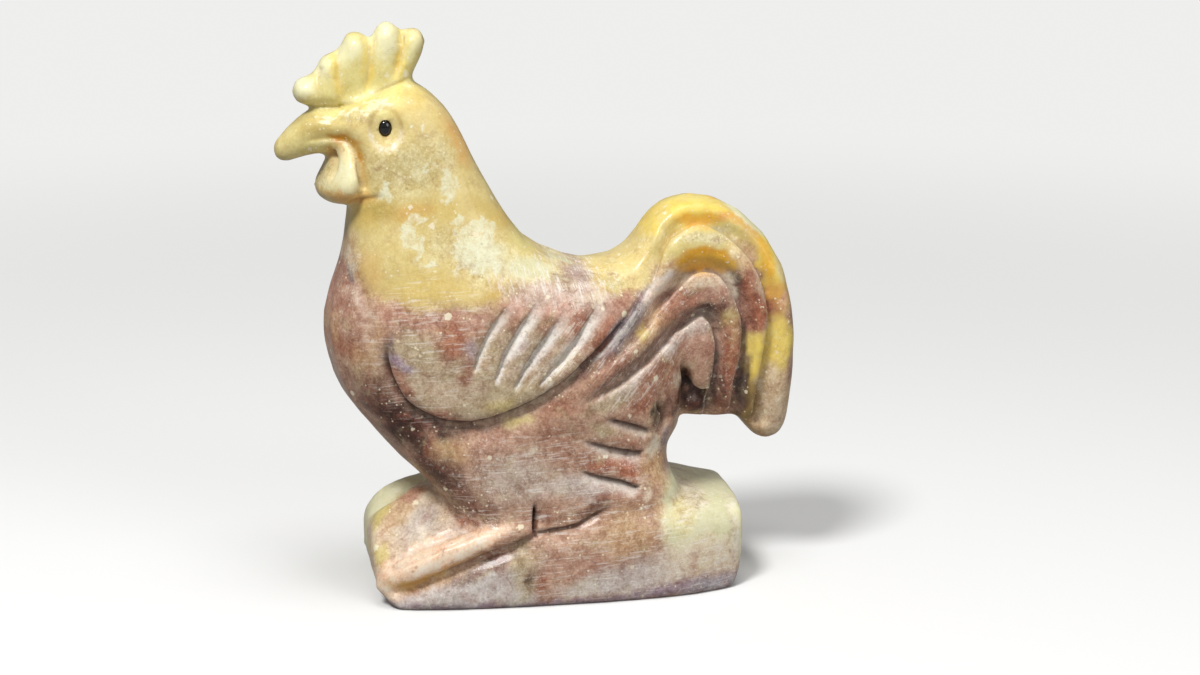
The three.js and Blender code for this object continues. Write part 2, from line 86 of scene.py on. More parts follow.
skinShape = {
    "cell": 0.312 * mm,  # side of one face
    "easing": 4,  # passes over everything
    "rounding": 70,  # passes of the soft copy that the facets are eased towards
    "facet": (0.05 * mm, 0.16 * mm),  # what differs less than this is a facet, more is a cut
    "fineBand": 0.42,  # mm on either side of a cut where the faces are halved
    "flank": (0.12, 0.45),  # how far a face has to look sideways for the cuts to fade in
    "handWave": 0.03 * mm,  # unevenness left by the file
    "waveSizes": (2.6 * mm, 1.2 * mm),
    "standing": (0.3 * mm, 0.9 * mm),  # heights between which it starts, as the foot stays flat
}


def newObject(name, data):
    made = bpy.data.objects.new(name, data)
    bpy.context.scene.collection.objects.link(made)
    return made


def fineCopy(node, cell):
    mesh = node.data.copy()
    bm = bmesh.new()
    bm.from_mesh(mesh)
    bmesh.ops.remove_doubles(bm, verts=bm.verts, dist=1e-6)
    bm.to_mesh(mesh)
    bm.free()
    piece = newObject("stoneSkin", mesh)
    remesh = piece.modifiers.new("evenFaces", "REMESH")
    remesh.mode = "VOXEL"
    remesh.voxel_size = cell
    shown = piece.evaluated_get(bpy.context.evaluated_depsgraph_get())
    piece.data = bpy.data.meshes.new_from_object(shown)
    piece.modifiers.clear()
    piece.data.materials.clear()
    piece.data.name = "stoneSkin"
    return piece


def pointsOf(mesh):
    points = np.empty(len(mesh.vertices) * 3)
    mesh.vertices.foreach_get("co", points)
    return points.reshape(-1, 3)


def normalsOf(mesh):
    normals = np.empty(len(mesh.vertices) * 3)
    mesh.vertex_normals.foreach_get("vector", normals)
    return normals.reshape(-1, 3)


def setPoints(mesh, points):
    mesh.vertices.foreach_set("co", points.reshape(-1))
    mesh.update()


# Which points of a mesh are joined by an edge, to average over neighbours.
class Web:
    def __init__(self, mesh):
        ends = np.empty(len(mesh.edges) * 2, dtype=np.int64)
        mesh.edges.foreach_get("vertices", ends)
        self.ends = ends.reshape(-1, 2)
        self.count = len(mesh.vertices)
        self.joined = np.bincount(self.ends.reshape(-1), minlength=self.count).astype(float)

    def average(self, values):
        flat = values.reshape(self.count, -1)
        result = np.empty_like(flat)
        a, b = self.ends[:, 0], self.ends[:, 1]
        for k in range(flat.shape[1]):
            column = flat[:, k]
            total = np.bincount(a, weights=column[b], minlength=self.count)
            total += np.bincount(b, weights=column[a], minlength=self.count)
            result[:, k] = total / self.joined
        return result.reshape(values.shape)

    def ease(self, values, passes, share=0.5):
        for _ in range(passes):
            values = values + share * (self.average(values) - values)
        return values

    # Rounds small forms away without shrinking the large ones.
    def roundOff(self, values, passes):
        for _ in range(passes):
            values = values + 0.5 * (self.average(values) - values)
            values = values - 0.515 * (self.average(values) - values)
        return values


def easeFacets(piece):
    web = Web(piece.data)
    sharp = web.ease(pointsOf(piece.data), skinShape["easing"])
    soft = web.roundOff(sharp, skinShape["rounding"])
    gap = np.linalg.norm(sharp - soft, axis=1)
    keep = web.ease(smoothStep(*skinShape["facet"], gap), 2)
    setPoints(piece.data, soft + (sharp - soft) * keep[:, None])


def noiseAt(points, size, seed=0.0, octaves=1):
    shift = Vector((seed * 17.3, seed * 5.1, seed * 9.7))
    places = [Vector(p) / size + shift for p in points.tolist()]
    if octaves == 1:
        return np.array([noise.noise(p) for p in places])
    return np.array([noise.fractal(p, 0.8, 2.1, octaves) for p in places])


def tracePath(points, step=0.1):
    ends = np.array(points, dtype=float)
    padded = np.vstack([2 * ends[0] - ends[1], ends, 2 * ends[-1] - ends[-2]])
    trail = []
    for k in range(1, len(padded) - 2):
        a, b, c, d = padded[k - 1], padded[k], padded[k + 1], padded[k + 2]
        parts = max(2, int(np.linalg.norm(c - b) / step))
        for t in np.arange(parts) / parts:
            curve = 2 * a - 5 * b + 4 * c - d
            twist = 3 * b - a - 3 * c + d
            trail.append(b + 0.5 * t * ((c - a) + t * (curve + t * twist)))
    trail.append(ends[-1])
    return np.array(trail)


# One cut: its path in side view from its place; at its two ends how much deeper it goes than the
# solid's, how wide its sloping side is and over what share of the path it fades in; the width of
# its wall; the side that the wall is on (1 is left of travel); its dust, worn rim and painted shade.
def gouge(place, points, deeper, slope, fade, wall, side, **marks):
    shape = {"path": tracePath(points) + np.array(places[place]), "deeper": deeper, "slope": slope}
    return {**shape, "fade": fade, "wall": wall, "side": side, "marks": marks}


knife = {
    "wingEdge": gouge("body", [(-9.2, 3), (-9.6, 1.2), (-9.3, -1), (-7.8, -3.7), (-4.8, -5.2), (-1.9, -5.3),
        (1.6, -4.2), (5, -2.3), (7.7, -0.1), (10, 2.1), (13.3, 5.4)],
        (0.45, 0.5), (0.8, 1.2), (0.1, 0.2), 0.24, 1, dust=0.05, rim=0.1, dirt=1),
    "wingSlitA": gouge("body", [(1.6, 5.6), (0.1, 4), (-0.9, 2.6), (-1.6, 1.3), (-2.4, -0.9)],
        (0.3, 0.42), (1.2, 0.3), (0.5, 0.08), 0.13, -1, dust=0.8, dirt=0.15),
    "wingSlitB": gouge("body", [(4, 6), (2.7, 4.2), (1.5, 2.5), (0.3, 0.5), (-0.7, -2.1)],
        (0.3, 0.5), (1.4, 0.3), (0.5, 0.08), 0.13, -1, dust=1.3, dirt=0.15),
    "wingSlitC": gouge("body", [(6, 4.9), (4.4, 2.6), (3.1, 0.9), (2, -0.7), (1, -2.6)],
        (0.3, 0.5), (1.4, 0.3), (0.5, 0.08), 0.13, -1, dust=1.2, dirt=0.15),
    "wingSlitD": gouge("body", [(9.4, 5.4), (7.9, 3.6), (6.6, 1.7), (5.3, 0.1), (4.2, -1), (3.1, -2.3)],
        (0.3, 0.5), (1.5, 0.3), (0.5, 0.08), 0.13, -1, dust=1.3, dirt=0.15),
    "rimBand": gouge("tail", [(-5.7, 4.4), (-3.9, 6.1), (-3, 8.4), (-1.9, 9.5), (0.1, 10.3), (2.4, 9.4),
        (4.6, 7.3), (5.9, 4.9), (6.5, 2.1), (6.1, -1.7), (5.6, -5), (5.3, -8.4)],
        (0.3, 0.6), (0.8, 1.5), (0.15, 0.05), 0.22, -1, rim=0.2, dirt=0.45),
    "secondFeather": gouge("tail", [(-11, -2.2), (-8.3, -0.5), (-5.7, 1.5), (-3.7, 3.2), (-1.6, 5.2),
        (-0.3, 6.2), (1.8, 5.9), (3.2, 4), (4.1, 1.3), (4, -1.5), (3.5, -4), (3.3, -8)],
        (0.45, 0.95), (1, 1.4), (0.2, 0.05), 0.2, -1, dust=0.1, rim=0.3, dirt=0.5),
    "thirdFeather": gouge("tail", [(-12.3, -4.9), (-10.5, -4), (-9, -3.3), (-7.7, -2.7), (-6.1, -1.7),
        (-4.5, -0.6), (-2.7, 0.5), (-1.2, 1.5), (-0.2, 2.1), (0.5, 2.2), (1.2, 1.6), (1.6, 0.5),
        (1.7, -0.8), (1.6, -2.6), (1.4, -4.3), (1.2, -5.5), (1.1, -6.8), (1, -8)],
        (0.45, 0.7), (0.9, 1), (0.2, 0.05), 0.2, -1, dust=0.1, rim=0.35, dirt=0.7),
    "plume": gouge(  # between the wing's edge and the second feather
        "tail", [(-9.6, 0.6), (-7, 2.6), (-4.9, 4.6), (-3.3, 6.4)],
        (0.18, 0.18), (0.8, 0.8), (0.4, 0.4), 0.3, -1, rim=0.15, dirt=0.15),
    "fanEdge": gouge(  # the ragged row of feather tips beside the haunch
        "tail", [(-1.7, -1.7), (-1.4, -2.8), (-1.2, -3.8), (-1.2, -4.8), (-1.5, -5.9), (-1.7, -7.2)],
        (0.8, 0.9), (1, 1.1), (0.2, 0.1), 0.2, -1, rim=0.3, dirt=1),
    "fanNotch": gouge("tail", [(-4.2, -4.4), (-4, -5.2), (-3.6, -5.9), (-3.8, -6.7), (-4.3, -7.6)],
        (0.7, 0.8), (0.7, 0.9), (0.4, 0.15), 0.2, -1, rim=0.2, dirt=1),
    "featherHem": gouge(  # the ragged lower end of the third feather
        "tail", [(-1.2, -3.4), (-0.6, -4.1), (0.2, -4.7), (1.2, -4.8)],
        (0.6, 0.8), (0.8, 2.2), (0.25, 0.1), 0.2, 1, rim=0.4, dirt=1),
    "troughLineA": gouge(  # rough marks in the trough behind the wing
        "tail", [(-10.6, -0.8), (-8.6, 0.9), (-6.6, 2.9), (-4.9, 4.5)],
        (0.14, 0.14), (0.35, 0.3), (0.2, 0.3), 0.15, 1, dust=0.8, dirt=0.4),
    "troughLineB": gouge("tail", [(-8.9, -0.1), (-7.4, 1.3), (-5.7, 3)],
        (0.12, 0.12), (0.3, 0.35), (0.3, 0.2), 0.15, -1, dust=0.7, dirt=0.3),
    "thighSlitA": gouge("body", [(8.7, -5.4), (10.5, -6), (11.7, -6.5), (13.2, -7.1)],
        (0.3, 0.6), (0.7, 1.2), (0.3, 0.06), 0.16, 1, dust=0.4, dirt=1),
    "thighSlitB": gouge("body", [(6.7, -7.2), (8.5, -7.9), (10.5, -8.6), (12.6, -9)],
        (0.3, 0.6), (0.6, 1.3), (0.3, 0.06), 0.16, 1, dust=0.5, dirt=1),
    "thighSlitC": gouge("body", [(6.3, -9.9), (8.5, -10.7), (10.5, -11.3), (12.2, -11.9)],
        (0.3, 0.6), (0.6, 1.3), (0.3, 0.06), 0.16, 1, dust=0.6, dirt=1),
    "legCrease": gouge("log", [(-0.8, 6.9), (-1.9, 6.3), (-3.2, 5.7), (-5.4, 5), (-7.8, 4), (-10.2, 3),
        (-12.5, 2.1), (-14.2, 1.4)],
        (0.35, 0.3), (1.7, 2.4), (0.08, 0.25), 0.24, -1, dirt=0.5),
    "legTop": gouge("log", [(-5, 7.5), (-7.5, 6.4), (-10, 5.4), (-12.4, 4.2), (-14.3, 2.9)],
        (0.2, 0.2), (0.6, 0.5), (0.25, 0.2), 0.3, 1, dust=0.3, rim=0.2, dirt=0.15),
    "legNotch": gouge("log", [(-1.1, 9.6), (-1.25, 7.9), (-1.3, 6.3)],
        (0.8, 0.8), (0.1, 0.45), (0.35, 0.02), 0.2, -1, dirt=1),
    "thighCrease": gouge("log", [(-1.2, 6.8), (0.8, 6.9), (2.5, 7.2), (3.7, 7.8), (5.2, 8.5), (6.5, 9)],
        (0.5, 0.3), (0.6, 0.5), (0.02, 0.4), 0.2, 1, rim=0.1, dirt=0.85),
    "facetEdge": gouge(  # where the slanting face of the log meets its far side
        "log", [(-15.9, 4.6), (-15.2, 6.6), (-13.8, 8.1), (-12, 9.2), (-10.6, 9.9)],
        (0.25, 0.25), (0.5, 0.5), (0.3, 0.2), 0.3, -1, dirt=0.4),
    "breastLine": gouge("body", [(-12.6, 9.2), (-11.4, 6.2), (-10.6, 3), (-10.3, 0)],
        (0.16, 0.16), (0.8, 1.2), (0.3, 0.3), 0.9, 1, dust=0.15, dirt=0.15),
    "combValleyA": gouge("head", [(-6.2, 6.4), (-6.5, 5.2), (-6.3, 3.9), (-5.8, 3.2)],
        (0.2, 0.2), (0.5, 0.5), (0.02, 0.4), 0.45, 1, rim=0.25, dirt=0.2),
    "combValleyB": gouge("head", [(-4.7, 8), (-4.7, 6.6), (-4.7, 5.3), (-4.5, 4.2)],
        (0.2, 0.2), (0.5, 0.45), (0.02, 0.35), 0.4, 1, rim=0.3, dirt=0.25),
    "combValleyC": gouge("head", [(-1.7, 9.2), (-1.8, 7.4), (-2, 5.6), (-2.3, 4.2)],
        (0.25, 0.25), (0.5, 0.45), (0.02, 0.35), 0.4, -1, rim=0.35, dirt=0.25),
    "combValleyD": gouge("head", [(0.95, 9.4), (0.75, 8.2), (0.45, 6.8), (-0.1, 5)],
        (0.4, 0.4), (0.5, 0.4), (0.02, 0.3), 0.3, 1, rim=0.4, dirt=0.35),
    "combBase": gouge("head", [(-7.4, 3), (-4.8, 3.1), (-3, 3.5), (-1.5, 4.2), (0.2, 4.9), (1.5, 5.3)],
        (0.15, 0.2), (0.35, 0.4), (0.02, 0.1), 0.25, 1, rim=0.3, dirt=0.15),
    "cheekCrease": gouge(  # from the mouth over the wattle's root and down behind it
        "head", [(-8.8, 0), (-7.4, 0.3), (-6, 0.5), (-4.9, 0.5), (-4.1, 0.1), (-3.5, -0.7), (-3.3, -1.8),
        (-3.1, -3), (-2.9, -4)],
        (0.15, 0.5), (0.9, 0.8), (0.4, 0.1), 0.3, -1, rim=0.25, dirt=0.45),
    "wattleGroove": gouge("head", [(-5.4, -0.4), (-5.25, -1.4), (-5.5, -2.3), (-5.9, -3.2)],
        (0.6, 0.5), (0.6, 0.7), (0.1, 0.4), 0.4, 1, rim=0.3, dirt=0.5),
    "throatLine": gouge("head", [(-4.3, -4.7), (-2.9, -4.4), (-1, -4)],
        (0.25, 0.25), (0.4, 0.3), (0.05, 0.4), 0.25, 1, dirt=0.5),
    "browHollow": gouge("head", [(-6.9, 1.7), (-5.2, 2), (-3.4, 2.1), (-2.2, 2.5)],
        (0.12, 0.12), (0.7, 0.8), (0.4, 0.4), 0.6, 1),
}


# How far each near point lies from a cut's path, on which side, and how far along it.
def alongCut(flat, cut):
    trail = cut["path"]
    reach = max(cut["slope"]) + 0.6
    low, high = trail.min(axis=0) - reach, trail.max(axis=0) + reach
    near = np.flatnonzero(((flat > low) & (flat < high)).all(axis=1))
    away = flat[near, None, :] - trail[None, :, :]
    gaps = np.hypot(away[:, :, 0], away[:, :, 1])
    nearest = gaps.argmin(axis=1)
    way = np.gradient(trail, axis=0)
    way = (way / np.linalg.norm(way, axis=1)[:, None])[nearest]
    offset = away[np.arange(len(near)), nearest]
    across = way[:, 0] * offset[:, 1] - way[:, 1] * offset[:, 0]
    along = np.abs((way * offset).sum(axis=1))
    gap = np.where(along < 0.1, np.abs(across), gaps.min(axis=1))
    return near, gap, np.sign(across) * cut["side"], nearest / (len(trail) - 1)


def flankShare(normals):
    return smoothStep(*skinShape["flank"], np.abs(normals[:, 1]))


# Halves the faces beside the cuts, so that their edges come out crisp.
def refineCuts(piece):
    points = pointsOf(piece.data)
    flat = points[:, [0, 2]] / mm
    close = np.zeros(len(points), dtype=bool)
    for cut in knife.values():
        near, gap, _, _ = alongCut(flat, cut)
        close[near[gap < skinShape["fineBand"]]] = True
    eyeGap = np.hypot(*(flat - np.array(eyeShape["place"])).T)
    close |= eyeGap < eyeShape["ring"] + 0.4
    close &= flankShare(normalsOf(piece.data)) > 0
    bm = bmesh.new()
    bm.from_mesh(piece.data)
    edges = [e for e in bm.edges if close[e.verts[0].index] and close[e.verts[1].index]]
    bmesh.ops.subdivide_edges(bm, edges=edges, cuts=1, use_grid_fill=True)
    bm.to_mesh(piece.data)
    bm.free()


cutting = {
    "wobble": 0.06,  # mm, how unsteady the hand was, and over what length
    "wobbleSize": 0.9 * mm,
    "hollowing": 1.4,  # above 1 the sloping side is hollow
    "dust": (1.1, 0.45),  # shares of the sloping side between which dust thickens
    "dirt": (0.42, 0.06),  # mm from the path between which the painted shade thickens
    "rim": (0.1, 0.18, 0.24, 0.42),  # mm from the path where a worn rim starts, is full and ends
}


# Deepens the cuts and returns where they are dusty, where painted shade darkens them and where they are
# worn white at the edge.
def carve(piece, web):
    points = pointsOf(piece.data)
    normals = web.ease(normalsOf(piece.data), 4)
    normals /= np.linalg.norm(normals, axis=1)[:, None]
    flat = points[:, [0, 2]] / mm
    flank = flankShare(normals)
    wobble = cutting["wobble"] * noiseAt(points, cutting["wobbleSize"], 11)
    marks = {name: np.zeros(len(points)) for name in ("dust", "dirt", "rim")}
    sink = np.zeros(len(points))
    for cut in knife.values():
        near, gap, side, share = alongCut(flat, cut)
        gap = np.abs(gap + wobble[near])
        fade = np.clip(share / cut["fade"][0], 0, 1) * np.clip((1 - share) / cut["fade"][1], 0, 1)
        fade = smoothStep(0, 1, fade) * flank[near]
        width = cut["slope"][0] + (cut["slope"][1] - cut["slope"][0]) * share
        slope = np.clip(1 - gap / width, 0, 1) * (side < 0)
        wall = smoothStep(cut["wall"], 0, gap) * (side >= 0)
        deep = cut["deeper"][0] + (cut["deeper"][1] - cut["deeper"][0]) * share
        sink[near] = np.maximum(sink[near], fade * deep * (slope ** cutting["hollowing"] + wall))
        start, full, ebb, end = cutting["rim"]
        # dust on the sloping side, painted shade near the path, a worn rim beside the wall
        shares = {
            "dust": (side < 0) * smoothStep(*cutting["dust"], gap / width),
            "dirt": smoothStep(*cutting["dirt"], gap + 0.12 * (side >= 0)),
            "rim": (side >= 0) * smoothStep(start, full, gap) * smoothStep(end, ebb, gap),
        }
        for name, strength in cut["marks"].items():
            marks[name][near] = np.clip(fade * strength * shares[name], marks[name][near], 1.0)
    setPoints(piece.data, points - normals * (sink * mm)[:, None])
    return marks


# The eye: a ring cut round a small hole that a black bead fills.

eyeShape = {
    "place": (places["head"][0] - 1.0, places["head"][1] + 1.5),
    "ring": 1.2,  # radius of the ring, mm
    "ringWidth": 0.34,
    "ringDepth": 0.12,
    "bead": 0.5,  # radius of the bead
    "hole": 0.54,
    "drilled": 0.65,  # radius of the hole in the solid, which is drawn in to the one above
    "lip": (0.8, 0.64),  # radii between which its edge follows
    "well": (0.95, 0.1),  # radius and depth from which a point is inside the hole
    "level": (0.85, 1.05),  # radii between which the stone's face is measured
    "reach": 2.0,  # radius of all that may move
    "rise": 1.3,  # the hole is a little taller than wide
    "dome": 0.3,  # how far the bead bulges
}


def setEye(piece, marks):
    points = pointsOf(piece.data)
    flat = points[:, [0, 2]] / mm - np.array(eyeShape["place"])
    gap = np.hypot(flat[:, 0], flat[:, 1] / eyeShape["rise"])
    for side in (-1, 1):
        outwards = points[:, 1] * side
        here = (gap < eyeShape["reach"]) & (outwards > 0.5 * mm)
        inner, outer = eyeShape["level"]
        level = np.median(outwards[here & (gap > inner) & (gap < outer)])
        radius, depth = eyeShape["well"]
        deep = here & (gap < radius) & (outwards < level - depth * mm)
        lip = here & ~deep & (gap < eyeShape["lip"][0])
        narrower = eyeShape["hole"] / np.maximum(gap, 1e-6)
        drawn = 1 - (1 - eyeShape["hole"] / eyeShape["drilled"]) * smoothStep(*eyeShape["lip"], gap)
        scale = np.where(deep, narrower, np.where(lip, drawn, 1.0))
        moved = np.array(eyeShape["place"]) + flat * scale[:, None]
        points[here, 0] = moved[here, 0] * mm
        points[here, 2] = moved[here, 1] * mm
        ring = smoothStep(eyeShape["ringWidth"], 0, np.abs(gap - eyeShape["ring"]))
        points[here, 1] -= side * eyeShape["ringDepth"] * ring[here] * mm
        edge = smoothStep(0.26, 0.08, np.abs(gap - eyeShape["ring"] - 0.12)) * here
        below = smoothStep(0.3, -0.5, flat[:, 1])
        socket = smoothStep(0.8, 0.6, gap) * here
        # Painted shade in the hole round the bead and along the ring's upper edge, and a painted highlight
        # along its lower edge.
        marks["dirt"] = np.maximum(marks["dirt"], 0.9 * socket)
        marks["rim"] = np.maximum(marks["rim"], 0.55 * edge * below)
        marks["dirt"] = np.maximum(marks["dirt"], 0.35 * edge * (1 - below))
    setPoints(piece.data, points)


def makeBead(node, side):
    low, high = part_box(node)
    middle = [(low[k] + high[k]) / 2 for k in range(3)]
    face = low[1] if side < 0 else high[1]
    bm = bmesh.new()
    bmesh.ops.create_uvsphere(bm, u_segments=32, v_segments=20, radius=eyeShape["bead"] * mm)
    bmesh.ops.scale(bm, verts=bm.verts, vec=(1, eyeShape["dome"] / eyeShape["bead"], eyeShape["rise"]))
    shift = (middle[0], face - side * eyeShape["dome"] * mm, middle[2])
    bmesh.ops.translate(bm, verts=bm.verts, vec=shift)
    mesh = bpy.data.meshes.new("bead")
    bm.to_mesh(mesh)
    bm.free()
    mesh.shade_smooth()
    return newObject("bead_left" if side < 0 else "bead_right", mesh)


# The stone's colours, and where each lies in side view, painted in this order: x, z, half width,
# half height, turn, strength and, where it isn't the usual one, the softness of its edge.

tints = {
    "clay": (176, 142, 120), "cream": (226, 213, 140), "gold": (222, 202, 136), "deepGold": (214, 182, 96),
    "honey": (228, 182, 108), "amber": (206, 146, 28), "orange": (222, 164, 84), "haze": (206, 196, 148),
    "shell": (232, 214, 160), "apricot": (226, 178, 108), "pearl": (228, 216, 194),
    "russet": (160, 112, 90), "rust": (150, 92, 68), "rose": (182, 140, 122), "pink": (206, 164, 146),
    "tan": (198, 164, 124), "plum": (92, 74, 84), "mauve": (160, 132, 132), "umber": (66, 38, 28),
    "bark": (112, 78, 64), "taupe": (176, 156, 132), "olive": (180, 164, 132), "moss": (144, 116, 62),
    "chalk": (226, 214, 202), "sun": (240, 212, 104), "lime": (196, 170, 94), "beige": (196, 172, 138),
    "ash": (186, 172, 160), "mist": (208, 203, 199), "blush": (212, 192, 164), "straw": (214, 196, 126),
    "salmon": (236, 204, 174), "willow": (222, 218, 178), "lilac": (160, 142, 156),
    "ivory": (242, 237, 192), "smoke": (138, 122, 130), "brick": (160, 100, 74), "saffron": (234, 182, 66),
    "slate": (172, 170, 178), "bone": (244, 226, 204),
}

